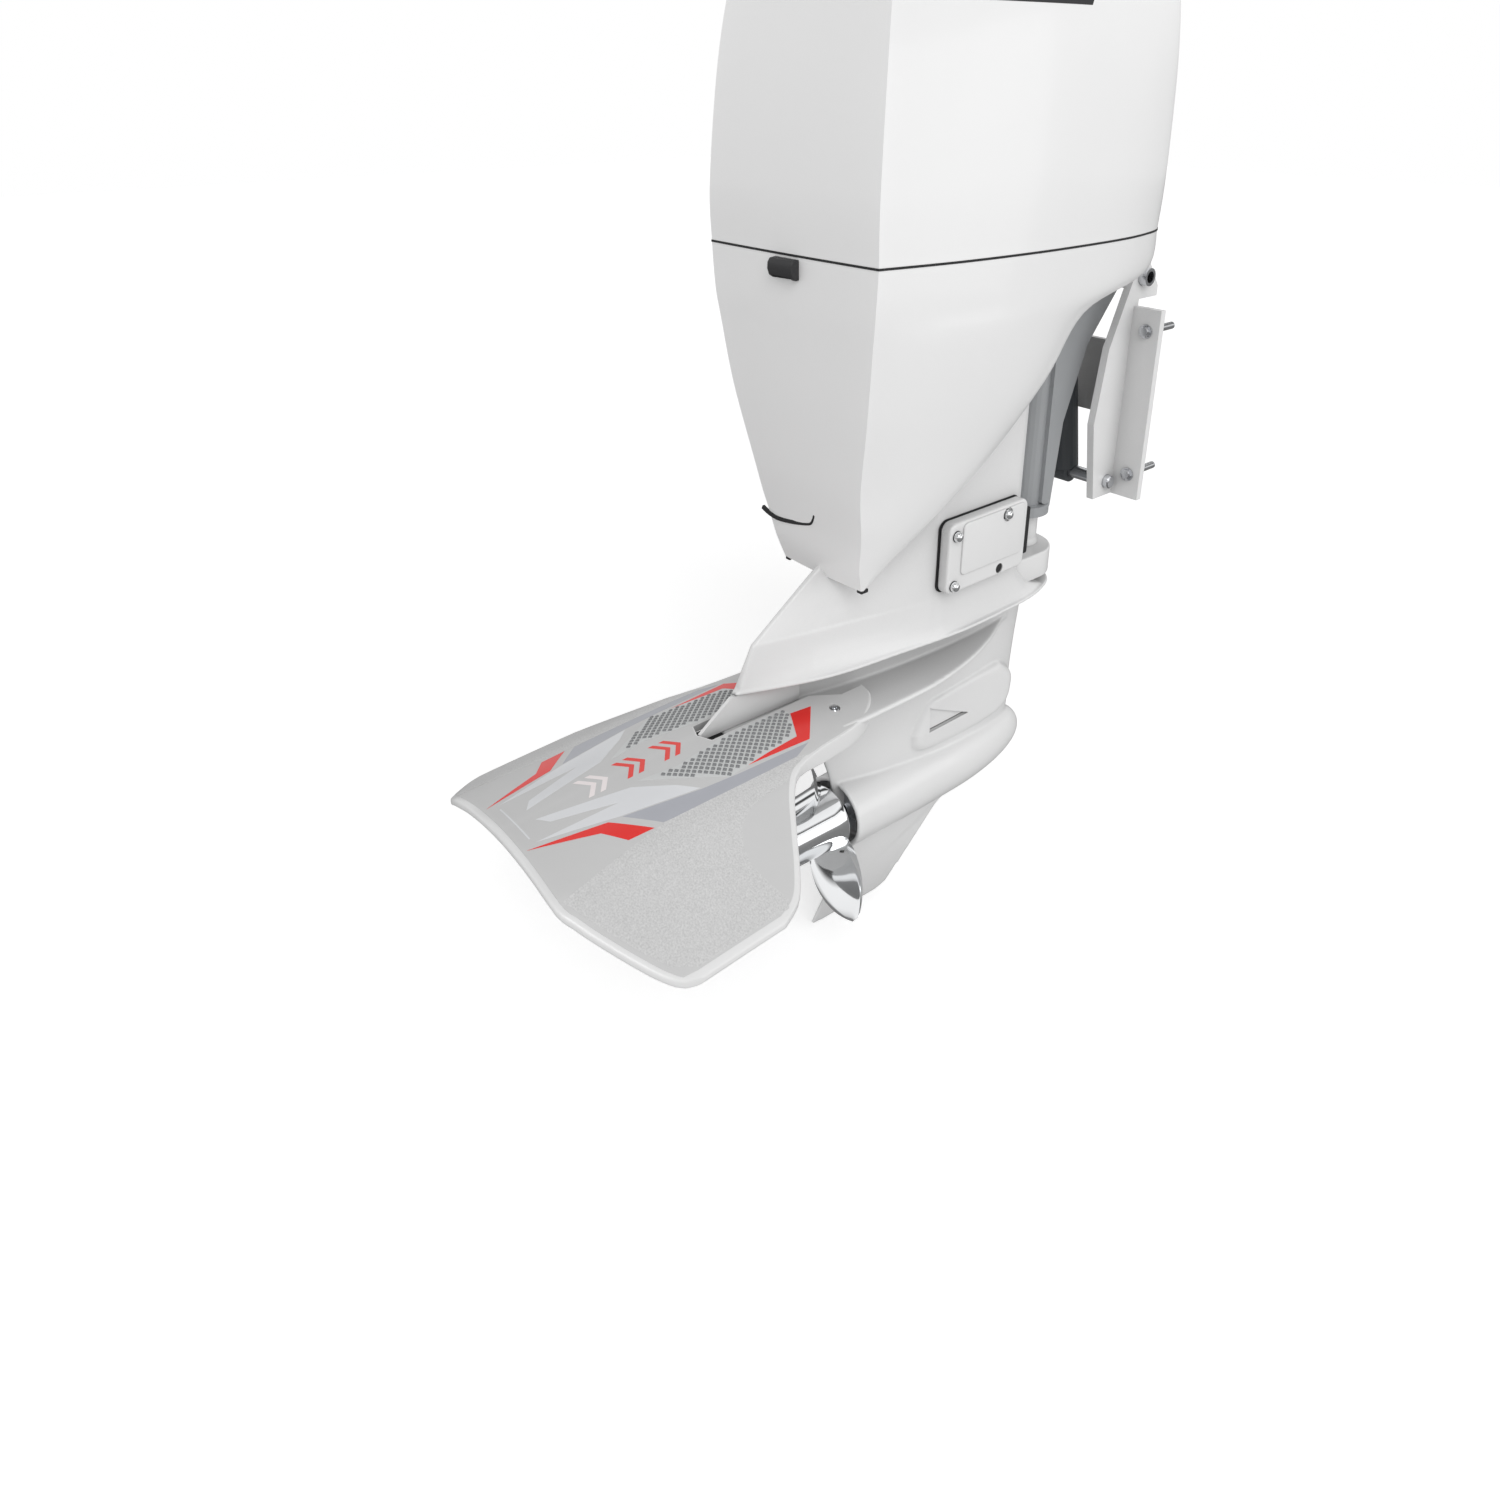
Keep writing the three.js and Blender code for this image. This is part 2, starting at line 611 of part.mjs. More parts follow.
function buildShafts() {
  const at = [0, 0, PROP_Z];
  const shaftProfile = [[0, -40], [9, -40], [9, -22], [13.6, -22], [13.6, 300], [12, 300], [12, 438],
    [0, 438]];
  add('propeller_shaft', 'steel', turned(shaftProfile, 'y', at, 20));
  const nut = cut(manifold(rod(18, -36, -22 - GAP, 'y', at, 6)), rod(9 + GAP, -50, 0, 'y', at, 20));
  add('propeller_nut', 'steel', geometryOf(nut));
  add('clutch_dog', 'iron', tube(20, 12.6, 390, 410, 'y', at, 20));
  [['forward_gear', 1], ['reverse_gear', -1]].forEach(([name, way]) => {
    const profile = [[13, 16], [34, 21], [34, 28], [20, 37], [13, 37], [13, 16]];
    add(name, 'iron', turned(profile.map(([r, h]) => [r, CRANK_Y + way * h]), 'y', at, 24));
  });
  const shaftAt = [0, CRANK_Y, 0];
  const bottom = PROP_Z + 23; // lower end of the pinion and of the drive shaft
  const cone = [[7.4, 0], [9, 0], [13.6, 11], [13.6, 19], [7.4, 19], [7.4, 0]];
  add('pinion_gear', 'iron', turned(cone.map(([r, h]) => [r, bottom + h]), 'z', shaftAt, 20));
  add('drive_shaft', 'steel', rod(7, bottom, 540, 'z', shaftAt, 16));
  add('shift_rod', 'steel', rod(4, -190, 465, 'z', [0, SHIFT_Y, 0], 12));
}

// ---- water pump ------------------------------------------------------------------------
function buildWaterPump() {
  const at = [0, CRANK_Y, 0];
  const vanes = [0, 1, 2, 3, 4, 5].map((i) => box(-1.5, 1.5, 0, 13, 0, 12).rotateZ(i * Math.PI / 3)
    .translate(0, CRANK_Y, 0).translate(0, 0, 12));
  const impeller = cut(join(rod(9.5, 12, 24, 'z', at, 20), ...vanes), rod(7.3, 0, 40, 'z', at, 20));
  add('water_pump_impeller', 'rubber', geometryOf(impeller));
}

// ---- cowls -------------------------------------------------------------------------------
// One level of the cowl: flat rear face with a crease each side, fuller flanks, round front.
function cowlRing(z, rear, front, rearHalf, fullHalf, inset = 0) {
  const length = front - rear;
  const half = [[0, rear + inset], [rearHalf - inset, rear + inset],
    [(rearHalf + fullHalf * 2) / 3 - inset, rear + length * 0.22],
    [fullHalf - inset, rear + length * 0.5], [fullHalf * 0.96 - inset, rear + length * 0.78],
    [fullHalf * 0.72 - inset, rear + length * 0.95 - inset], [0, front - inset]];
  return bothSides(half).map(([x, y]) => [x, y, z]);
}

// Cowl levels: height, rear, front, half width of the rear face, greatest half width.
const CHIN = [[172, 60, 68, 77, 78], [208, 48, 122, 84, 90], [245, 41, 182, 92, 104], [275, 34, 226, 98, 114],
  [330, 22, 300, 106, 130], [430, 6, 392, 128, 156], [520, -4, 452, 142, 174], [562, -8, 596, 148, 182],
  [COWL_SPLIT - GAP, -10, 604, 152, 188]];
const DOME = [[COWL_SPLIT + GAP, -10, 604, 152, 188], [700, -12, 606, 152, 190], [860, 0, 604, 144, 184],
  [980, 22, 590, 128, 168], [1050, 50, 560, 104, 142], [1090, 92, 510, 66, 100], [1102, 150, 440, 30, 60]];

function lowerCowl() {
  const outer = manifold(skin(CHIN.map((level) => cowlRing(...level))));
  const rings = CHIN.slice(1).map(([z, rear, front, rearHalf, fullHalf], i, all) => {
    const top = i === all.length - 1;
    return cowlRing(z + (top ? 5 : 8), rear, front, rearHalf, fullHalf, 5);
  });
  const passage = skin([160, 640].map((z) => legSection(470, 430).map(([x, y]) => [x * 1.03, y, z])));
  const wedge = skin([150, 178, 230, 300, 480].map((z) => legSection(z, 432)
    .map(([x, y]) => [x * 1.02 + Math.sign(x) * 0.6, y - 1.2, z])));
  const shaftRoom = box(-76, 76, 425, 700, 400, 568);
  const engineRoom = box(-90, 90, 94, 457, 469, 700);
  return geometryOf(cut(outer, skin(rings), wedge, passage, shaftRoom, engineRoom));
}

function buildCowls() {
  add('lower_cowl', 'white', lowerCowl());
  const outer = manifold(skin(DOME.map((level) => cowlRing(...level))));
  const inner = skin([[COWL_SPLIT - 20, ...DOME[0].slice(1)], ...DOME.slice(1)].map((level) => {
    const [z, ...rest] = level;
    return cowlRing(z - 6, ...rest, 5);
  }));
  add('top_cowl', 'white', geometryOf(cut(outer, inner)));
  add('cowl_latch', 'plastic', box(-22, 22, -26, -10.6, 590, 616));
}

// ---- powerhead ---------------------------------------------------------------------------
function buildPowerhead() {
  const shaftAt = [0, CRANK_Y, 0];
  const shaftHole = () => rod(16, 400, 1100, 'z', shaftAt, 20);
  const exhaust = box(-26, 26, 250, 360, 400, 600);
  const adapter = cut(manifold(box(-60, 60, 150, 430, 470 + GAP, 500)), shaftHole(), exhaust);
  add('powerhead_adapter', 'alloy', geometryOf(adapter));
  const crankcase = join(box(-88, 88, 250, 455, 545, 900), box(-78, 78, 250, 420, 500 + GAP, 546));
  add('engine_block', 'alloy', geometryOf(cut(crankcase, shaftHole())));
  add('cylinder_head', 'alloy', box(-84, 84, 160, 250 - GAP, 545, 890));
  add('valve_cover', 'plastic', box(-76, 76, 96, 160 - GAP, 555, 880));
  add('intake_manifold', 'plastic', box(88 + GAP, 132, 230, 400, 640, 880));
  add('throttle_body', 'alloy', rod(26, 401, 440, 'y', [118, 0, 800], 20));
  add('engine_control_unit', 'plastic', box(-132, -88 - GAP, 300, 440, 680, 830));
  add('starter_motor', 'dark', rod(28, 700, 860, 'z', [118, 480, 0], 20));
  add('oil_filter', 'plastic', rod(34, -140, -88 - GAP, 'x', [0, 330, 610], 20));
  add('crankshaft', 'iron', rod(14, 541, 960, 'z', shaftAt, 20));
  add('flywheel', 'iron', tube(120, 14 + GAP, 920, 944, 'z', shaftAt, 32));
  const cover = [[0, 962], [124, 962], [132, 950], [136, 950], [128, 974], [0, 980]];
  add('flywheel_cover', 'plastic', turned(cover, 'z', shaftAt, 28));
}

buildTransomBracket();
buildSwivel();
buildTiltRam();
buildYokes();
buildMountCovers();
buildMidsection();
buildGearcase();
buildAftFin();
buildBearingCarrier();
buildFoil();
buildPropeller();
buildShafts();
buildWaterPump();
buildCowls();
buildPowerhead();

export default parts;
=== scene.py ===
import json
import math

import bmesh
import bpy
from mathutils import Matrix, Vector


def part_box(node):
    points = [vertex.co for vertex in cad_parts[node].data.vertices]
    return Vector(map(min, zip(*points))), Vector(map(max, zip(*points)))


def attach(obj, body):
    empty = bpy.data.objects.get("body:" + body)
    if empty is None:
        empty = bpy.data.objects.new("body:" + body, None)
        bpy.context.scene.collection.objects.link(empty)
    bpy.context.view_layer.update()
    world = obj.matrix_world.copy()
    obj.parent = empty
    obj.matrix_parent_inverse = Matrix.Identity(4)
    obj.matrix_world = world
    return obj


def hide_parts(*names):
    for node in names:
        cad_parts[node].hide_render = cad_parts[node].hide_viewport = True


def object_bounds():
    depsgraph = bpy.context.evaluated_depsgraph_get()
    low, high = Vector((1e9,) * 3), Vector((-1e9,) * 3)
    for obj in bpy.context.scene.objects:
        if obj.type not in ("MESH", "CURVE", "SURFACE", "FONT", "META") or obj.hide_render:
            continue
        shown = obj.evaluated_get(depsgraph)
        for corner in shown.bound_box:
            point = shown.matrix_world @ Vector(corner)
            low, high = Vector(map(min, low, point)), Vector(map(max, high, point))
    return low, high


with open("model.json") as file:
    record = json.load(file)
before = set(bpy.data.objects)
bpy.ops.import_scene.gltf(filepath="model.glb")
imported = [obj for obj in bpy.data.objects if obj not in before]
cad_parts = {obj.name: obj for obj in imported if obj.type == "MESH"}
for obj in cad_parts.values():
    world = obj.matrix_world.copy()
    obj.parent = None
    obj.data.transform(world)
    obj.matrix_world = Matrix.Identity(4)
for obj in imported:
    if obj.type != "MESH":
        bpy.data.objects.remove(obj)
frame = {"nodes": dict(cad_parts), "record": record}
CAD_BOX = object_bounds()
NODES = frame["nodes"]

MM = 0.001
SIDES = (("starboard", 1), ("port", -1))
# The leg frame: its origin is the middle of the hydrofoil's top face, this far ahead of the
# foil's trailing edge. Sizes below are in millimetres in that frame.
FOIL_TAIL = 461
FOIL_LOW, FOIL_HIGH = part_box("hydrofoil")
LEG = Vector((0.0, FOIL_LOW[1] + FOIL_TAIL * MM, FOIL_HIGH[2]))


# ---- mesh helpers ----
def leg_point(x, y, z):
    """A point of the leg frame, in metres in the shared frame."""
    return LEG + Vector((x, y, z)) * MM


def new_object(name, verts, faces):
    mesh = bpy.data.meshes.new(name)
    mesh.from_pydata([tuple(v) for v in verts], [], faces)
    mesh.validate()
    obj = bpy.data.objects.new(name, mesh)
    bpy.context.scene.collection.objects.link(obj)
    fix_normals(obj)
    return obj


def fix_normals(obj):
    bm = bmesh.new()
    bm.from_mesh(obj.data)
    bmesh.ops.remove_doubles(bm, verts=bm.verts, dist=1e-7)
    bmesh.ops.recalc_face_normals(bm, faces=bm.faces)
    bm.to_mesh(obj.data)
    bm.free()


def skin(name, rings, cap=True):
    """A skin over rings of points, closed at both ends if cap is set."""
    count = len(rings[0])
    verts = [leg_point(*p) for ring in rings for p in ring]
    faces = []
    for r in range(len(rings) - 1):
        for i in range(count):
            j = (i + 1) % count
            a, b = r * count, (r + 1) * count
            faces.append((a + i, a + j, b + j, b + i))
    if cap:
        for r in (0, len(rings) - 1):
            centre, a = len(verts), r * count
            verts.append(sum((verts[a + i] for i in range(count)), Vector()) / count)
            faces += [(centre, a + i, a + (i + 1) % count) for i in range(count)]
    return new_object(name, verts, faces)


def turned(name, profile, axis, at, segments):
    """A turned solid: profile of (radius, height) about an axis through at.

    A profile that ends where it starts makes a ring, and any other one is closed by flat ends."""
    rings = []
    for radius, height in profile:
        ring = []
        for i in range(segments):
            a = 2 * math.pi * i / segments
            u, v = radius * math.cos(a), radius * math.sin(a)
            ring.append({"x": (height, u, v), "y": (u, height, v), "z": (u, v, height)}[axis])
        rings.append([(p[0] + at[0], p[1] + at[1], p[2] + at[2]) for p in ring])
    return skin(name, rings, cap=profile[0] != profile[-1])


def extruded(name, outline, axis, low, high):
    """An outline given thickness: (y, z) points along x, or (x, y) points along z."""
    if axis == "x":
        rings = [[(h, a, b) for a, b in outline] for h in (low, high)]
    else:
        rings = [[(a, b, h) for a, b in outline] for h in (low, high)]
    count = len(outline)
    faces = [tuple(range(count)), tuple(range(count, 2 * count))]
    faces += [(i, (i + 1) % count, (i + 1) % count + count, i + count) for i in range(count)]
    return new_object(name, [leg_point(*p) for ring in rings for p in ring], faces)


def block(name, low, high):
    (x0, y0, z0), (x1, y1, z1) = low, high
    return extruded(name, [(x0, y0), (x1, y0), (x1, y1), (x0, y1)], "z", z0, z1)


def apply_modifiers(obj):
    bpy.context.view_layer.update()
    evaluated = obj.evaluated_get(bpy.context.evaluated_depsgraph_get())
    mesh = bpy.data.meshes.new_from_object(evaluated)
    obj.modifiers.clear()
    old = obj.data
    obj.data = mesh
    bpy.data.meshes.remove(old)
    mesh.name = obj.name


def cut(obj, tools):
    """Takes the tools away from a piece and deletes them."""
    for tool in tools:
        modifier = obj.modifiers.new("cut", "BOOLEAN")
        modifier.operation = "DIFFERENCE"
        modifier.solver = "EXACT"
        modifier.object = tool
        apply_modifiers(obj)
        bpy.data.objects.remove(tool)


def melt(obj, voxel, smooth):
    """Joins overlapping shells into one cast form, with small fillets in the corners.

    voxel is the remesh's cell and smooth is how often the result is relaxed."""
    remesh = obj.modifiers.new("remesh", "REMESH")
    remesh.mode = "VOXEL"
    remesh.voxel_size = voxel * MM
    soften = obj.modifiers.new("soften", "SMOOTH")
    soften.factor = 0.5
    soften.iterations = smooth
    apply_modifiers(obj)
    smooth_shade(obj)
    return obj


def join(name, objects):
    bm = bmesh.new()
    for obj in objects:
        bm.from_mesh(obj.data)
        bpy.data.objects.remove(obj)
    mesh = bpy.data.meshes.new(name)
    bm.to_mesh(mesh)
    bm.free()
    joined = bpy.data.objects.new(name, mesh)
    bpy.context.scene.collection.objects.link(joined)
    return joined


def smooth_shade(obj, angle=None):
    for polygon in obj.data.polygons:
        polygon.use_smooth = True
    if angle is not None:
        obj.data.set_sharp_from_angle(angle=math.radians(angle))


def bevel(obj, width, segments=3, angle=30):
    modifier = obj.modifiers.new("edges", "BEVEL")
    modifier.width = width * MM
    modifier.segments = segments
    modifier.limit_method = "ANGLE"
    modifier.angle_limit = math.radians(angle)


def both_sides(half):
    """Mirrors half an outline, given from rear to front, over the centre plane."""
    return half + [(-p[0],) + tuple(p[1:]) for p in reversed(half) if p[0] > 0]


def flip_side(obj):
    """Turns a starboard piece into the port one."""
    obj.data.transform(Matrix.Diagonal((-1, 1, 1, 1)))
    obj.data.flip_normals()


def mirrored(obj, name):
    copy = obj.copy()
    copy.data = obj.data.copy()
    copy.name = name
    bpy.context.scene.collection.objects.link(copy)
    flip_side(copy)
    return copy


def smoothstep(low, high, value):
    """0 below low, 1 above high, and a smooth rise between them."""
    t = min(1.0, max(0.0, (value - low) / (high - low)))
    return t * t * (3 - 2 * t)


def spline(points, steps):
    """Points along a smooth curve through the given ones (Catmull-Rom)."""
    result = []
    for i in range(len(points) - 1):
        p0, p1 = points[max(0, i - 1)], points[i]
        p2, p3 = points[i + 1], points[min(len(points) - 1, i + 2)]
        for k in range(steps):
            t = k / steps
            result.append(tuple(0.5 * (2 * b + (c - a) * t + (2 * a - 5 * b + 4 * c - d) * t * t
                                       + (3 * b - a - 3 * c + d) * t ** 3)
                                for a, b, c, d in zip(p0, p1, p2, p3)))
    result.append(tuple(points[-1]))
    return result


# ---- materials ----
def noise_node(tree, coords, scale, detail=3.0):
    node = tree.nodes.new("ShaderNodeTexNoise")
    node.inputs["Scale"].default_value = scale
    node.inputs["Detail"].default_value = detail
    tree.links.new(coords, node.inputs["Vector"])
    return node.outputs["Fac"]


def span(tree, value, low, high):
    """Maps a value of 0 to 1 onto low to high."""
    node = tree.nodes.new("ShaderNodeMapRange")
    node.inputs["To Min"].default_value = low
    node.inputs["To Max"].default_value = high
    tree.links.new(value, node.inputs["Value"])
    return node.outputs["Result"]


def combined(tree, operation, first, second):
    node = tree.nodes.new("ShaderNodeMath")
    node.operation = operation
    tree.links.new(first, node.inputs[0])
    tree.links.new(second, node.inputs[1])
    return node.outputs[0]


DRIFT_SCALE = 9.0  # noise cells per metre of the slow change in colour
GLOSS_SCALE = 14.0  # and of the slow change in gloss
GLOSS_DRIFT = 0.07
EDGE_FROM, EDGE_TO = 0.5, 0.6  # pointiness at which wear starts and is full
PAINTED_SHADE_REACH = 0.14  # metres within which nearby surfaces darken the colour, as painted shade
GRAIN_DEPTH = 0.0004


def finish_material(name, color, rough, metal=0.0, coat=0.0, grain=(400.0, 0.0), tone=0.03,
                    wear=0.03, mottle=0.0, painted_shade=0.0):
    """A procedural finish. grain is the (scale, strength) of its fine bump.

    tone, wear and mottle are how much the colour drifts over the piece, gets brighter on edges
    and is speckled. The last weight is painted shade: how much ambient occlusion darkens the
    colour where other surfaces are close by."""
    material = bpy.data.materials.new(name)
    material.use_nodes = True
    tree = material.node_tree
    shader = tree.nodes["Principled BSDF"]
    coords = tree.nodes.new("ShaderNodeTexCoord").outputs["Object"]
    scale, strength = grain
    drift_and_shade = span(tree, noise_node(tree, coords, DRIFT_SCALE), 1 - tone, 1 + tone)
    edges = tree.nodes.new("ShaderNodeNewGeometry").outputs["Pointiness"]
    edge_gain = tree.nodes.new("ShaderNodeMapRange")
    edge_gain.inputs["From Min"].default_value = EDGE_FROM
    edge_gain.inputs["From Max"].default_value = EDGE_TO
    edge_gain.inputs["To Max"].default_value = wear
    tree.links.new(edges, edge_gain.inputs["Value"])
    if mottle > 0:
        speckle = span(tree, noise_node(tree, coords, scale, 1.0), 1 - mottle, 1 + mottle)
        drift_and_shade = combined(tree, "MULTIPLY", drift_and_shade, speckle)
    # Painted shade: ambient occlusion darkens the colour under overhangs and in corners, where shade
    # falls.
    if painted_shade > 0:
        shade = tree.nodes.new("ShaderNodeAmbientOcclusion")
        shade.samples = 8
        shade.inputs["Distance"].default_value = PAINTED_SHADE_REACH
        shade_gain = span(tree, shade.outputs["AO"], 1 - painted_shade, 1.0)
        drift_and_shade = combined(tree, "MULTIPLY", drift_and_shade, shade_gain)
    tint = tree.nodes.new("ShaderNodeMix")
    tint.data_type = "RGBA"
    tint.blend_type = "MULTIPLY"
    tint.inputs["Factor"].default_value = 1.0
    tint.inputs[6].default_value = (*color, 1.0)
    tree.links.new(combined(tree, "ADD", drift_and_shade, edge_gain.outputs["Result"]), tint.inputs[7])
    tree.links.new(tint.outputs[2], shader.inputs["Base Color"])
    gloss_noise = noise_node(tree, coords, GLOSS_SCALE)
    gloss = span(tree, gloss_noise, rough * (1 - GLOSS_DRIFT), min(1.0, rough * (1 + GLOSS_DRIFT)))
    tree.links.new(gloss, shader.inputs["Roughness"])
    shader.inputs["Metallic"].default_value = metal
    shader.inputs["Coat Weight"].default_value = coat
    shader.inputs["Coat Roughness"].default_value = 0.08
    if strength > 0:
        bump = tree.nodes.new("ShaderNodeBump")
        bump.inputs["Strength"].default_value = strength
        bump.inputs["Distance"].default_value = GRAIN_DEPTH
        tree.links.new(noise_node(tree, coords, scale), bump.inputs["Height"])
        tree.links.new(bump.outputs["Normal"], shader.inputs["Normal"])
    return material


def grey(level):
    return (level, level, level)


PRINT_GRAIN = (900, 0.05)
FINISHES = {
    # The white paint carries painted shade in its colour, darker where other surfaces are close by.
    "white_paint": dict(color=grey(0.78), rough=0.34, coat=0.4, grain=(900, 0.03), tone=0.015,
                        painted_shade=0.5),
    "cowl_white": dict(color=grey(0.86), rough=0.3, coat=0.4, grain=(700, 0.02), tone=0.01),
    "grey_paint": dict(color=(0.33, 0.34, 0.35), rough=0.42, coat=0.3, grain=(900, 0.08)),
    "foil_plastic": dict(color=grey(0.60), rough=0.5, grain=(1400, 0.2)),
    "stainless": dict(color=(0.86, 0.87, 0.88), rough=0.06, metal=1.0, grain=(60, 0.02)),
    "shaft_steel": dict(color=(0.62, 0.63, 0.65), rough=0.22, metal=1.0, grain=(500, 0.1)),
    "cast_alloy": dict(color=(0.55, 0.56, 0.58), rough=0.45, metal=1.0, grain=(600, 0.5)),
    "forged_iron": dict(color=(0.25, 0.25, 0.26), rough=0.5, metal=0.9, grain=(500, 0.4)),
    "dark_paint": dict(color=(0.05, 0.055, 0.06), rough=0.35, coat=0.3, grain=(900, 0.1)),
    "foil_grain": dict(color=grey(0.61), rough=0.6, grain=(470, 1.0), tone=0.04, mottle=0.24),
    "pad_grey": dict(color=(0.62, 0.63, 0.63), rough=0.6, grain=(1500, 0.3)),
    "stud_dark": dict(color=(0.21, 0.215, 0.22), rough=0.55, grain=(1500, 0.3)),
    "flash_red": dict(color=(0.80, 0.025, 0.02), rough=0.35, coat=0.3, grain=PRINT_GRAIN),
    "panel_light": dict(color=(0.72, 0.73, 0.75), rough=0.4, coat=0.3, grain=PRINT_GRAIN),
    "panel_blue": dict(color=(0.42, 0.43, 0.47), rough=0.4, coat=0.3, grain=PRINT_GRAIN),
    "chevron_red": dict(color=(0.80, 0.07, 0.06), rough=0.4, grain=PRINT_GRAIN),
    "chevron_white": dict(color=(0.86, 0.80, 0.80), rough=0.4, grain=PRINT_GRAIN),
    "black_rubber": dict(color=(0.02, 0.02, 0.021), rough=0.75, grain=(700, 0.4)),
    "black_plastic": dict(color=(0.03, 0.03, 0.032), rough=0.5, grain=(1200, 0.3)),
}
MATERIALS = {name: finish_material(name, **finish) for name, finish in FINISHES.items()}
# The record's slot that each extra finish belongs to.
SLOT_OF = dict.fromkeys(("foil_grain", "pad_grey", "flash_red", "panel_light", "panel_blue",
                         "chevron_red", "chevron_white"), "foil_plastic")
SLOT_OF["stud_dark"] = "black_plastic"


def dress_nodes():
    """Every CAD node that stays gets its slot's finish and softened edges."""
    for part in frame["record"]["subparts"]:
        obj = NODES[part["node"]]
        material = MATERIALS[part["material_slot"]]
        obj.data.materials.clear()
        obj.data.materials.append(material)
        bevel(obj, 0.8, 2, 40)


# ---- finishing a piece ----
def place(obj, body, material, *nodes):
    """Gives a piece its finish and its body, and hides the CAD nodes that it stands for."""
    obj.data.materials.clear()
    obj.data.materials.append(MATERIALS[material])
    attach(obj, body)
    if nodes:
        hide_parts(*nodes)


# ---- hydrofoil ----
FOIL_SPAN = 252  # half the width over the tips
SLOT_HALF = 21.0  # half the width of the fin's slot
SCREW = (64, 30)
CREASE = 130.0  # where the middle part turns down into the wing
CREASE_REACH = 9  # half the width of that turn
WING_SLOPE = 0.66
# How far the face drops at the crease, how much more so at the tail, and along the centre line.
ARCH_DROP, ARCH_DROP_AFT, TAIL_DROP = 20, 6, 10
# The rear and front edges as (x, y), from the centre line out to the tip.
FOIL_REAR = [(0, -FOIL_TAIL), (70, -461), (128, -459), (150, -448), (172, -434), (208, -408),
             (232, -388), (246, -370), (FOIL_SPAN, -345)]
FOIL_FRONT = [(0, 104), (56, 104), (76, 92), (90, 74), (104, 46), (109, 8), (113, -36), (119, -72),
              (129, -98), (150, -121), (183, -146), (218, -172), (240, -194), (FOIL_SPAN, -226)]
FOIL_EDGE = 6.0  # how far in the edge's rounding reaches


def along(table, x):
    """Straight interpolation in a table of (place, value)."""
    for (x0, y0), (x1, y1) in zip(table, table[1:]):
        if x <= x1:
            return y0 + (y1 - y0) * (x - x0) / (x1 - x0)
    return table[-1][1]


FOIL_REAR_LINE = spline(FOIL_REAR, 6)
FOIL_FRONT_LINE = spline(FOIL_FRONT, 6)


def foil_top(x, y):
    """Height of the foil's top face: a shallow arch that turns down into the wings."""
    aft = min(1.0, max(0.0, (-y - 60) / 400))
    side = abs(x)
    arch = (ARCH_DROP + ARCH_DROP_AFT * aft) * min(1.0, side / CREASE) ** 2.2
    past = side - CREASE
    if abs(past) > CREASE_REACH:
        wing = max(0.0, past)
    else:
        wing = (past + CREASE_REACH) ** 2 / (4 * CREASE_REACH)
    return -TAIL_DROP * aft * aft - arch - WING_SLOPE * wing


def foil_thickness(y):
    """Thin over the wings and thicker at the front, where it clasps the plate below."""
    return 11 + 16 * smoothstep(-130, -20, y)


def spread(low, high, count, edge):
    """Places from low to high, closer together over the given edge at both ends."""
    rim = [edge * f for f in (0.0, 0.04, 0.15, 0.35, 0.65, 1.0)]
    inner = [low + edge + (high - low - 2 * edge) * i / count for i in range(1, count)]
    return [low + r for r in rim] + inner + [high - r for r in reversed(rim)]


def foil_body():
    xs = spread(-FOIL_SPAN, FOIL_SPAN, 96, FOIL_EDGE)
    rows = []
    for x in xs:
        side = abs(x)
        low, high = along(FOIL_REAR_LINE, side), along(FOIL_FRONT_LINE, side)
        rows.append([(x, y, min(y - low, high - y, FOIL_SPAN - side))
                     for y in spread(low, high, 60, FOIL_EDGE)])
    verts, count = [], len(rows[0])
    for sign in (1, -1):
        for row in rows:
            for x, y, inside in row:
                thick = foil_thickness(y)
                round_off = (1 - (1 - min(1.0, inside / FOIL_EDGE)) ** 3) ** (1 / 3)
                middle = foil_top(x, y) - thick / 2
                verts.append(leg_point(x, y, middle + sign * thick / 2 * round_off))
    faces, layer = [], len(rows) * count
    for r in range(len(rows) - 1):
        for c in range(count - 1):
            a = r * count + c
            quad = (a, a + 1, a + count + 1, a + count)
            faces += [quad, tuple(i + layer for i in reversed(quad))]
    foil = new_object("foil_moulding", verts, faces)
    channel = both_sides([(0, -163), (SLOT_HALF, -154), (SLOT_HALF, 20), (46, 60), (46, 140), (0, 140)])
    cut(foil, [extruded("channel", channel, "z", -60, 20)])
    cut(foil, [screw_well(1), screw_well(-1)])
    smooth_shade(foil, 40)
    return foil


def screw_well(side):
    return turned("well", [(8, -8), (8, 8)], "z", (SCREW[0] * side, SCREW[1], 0), 40)


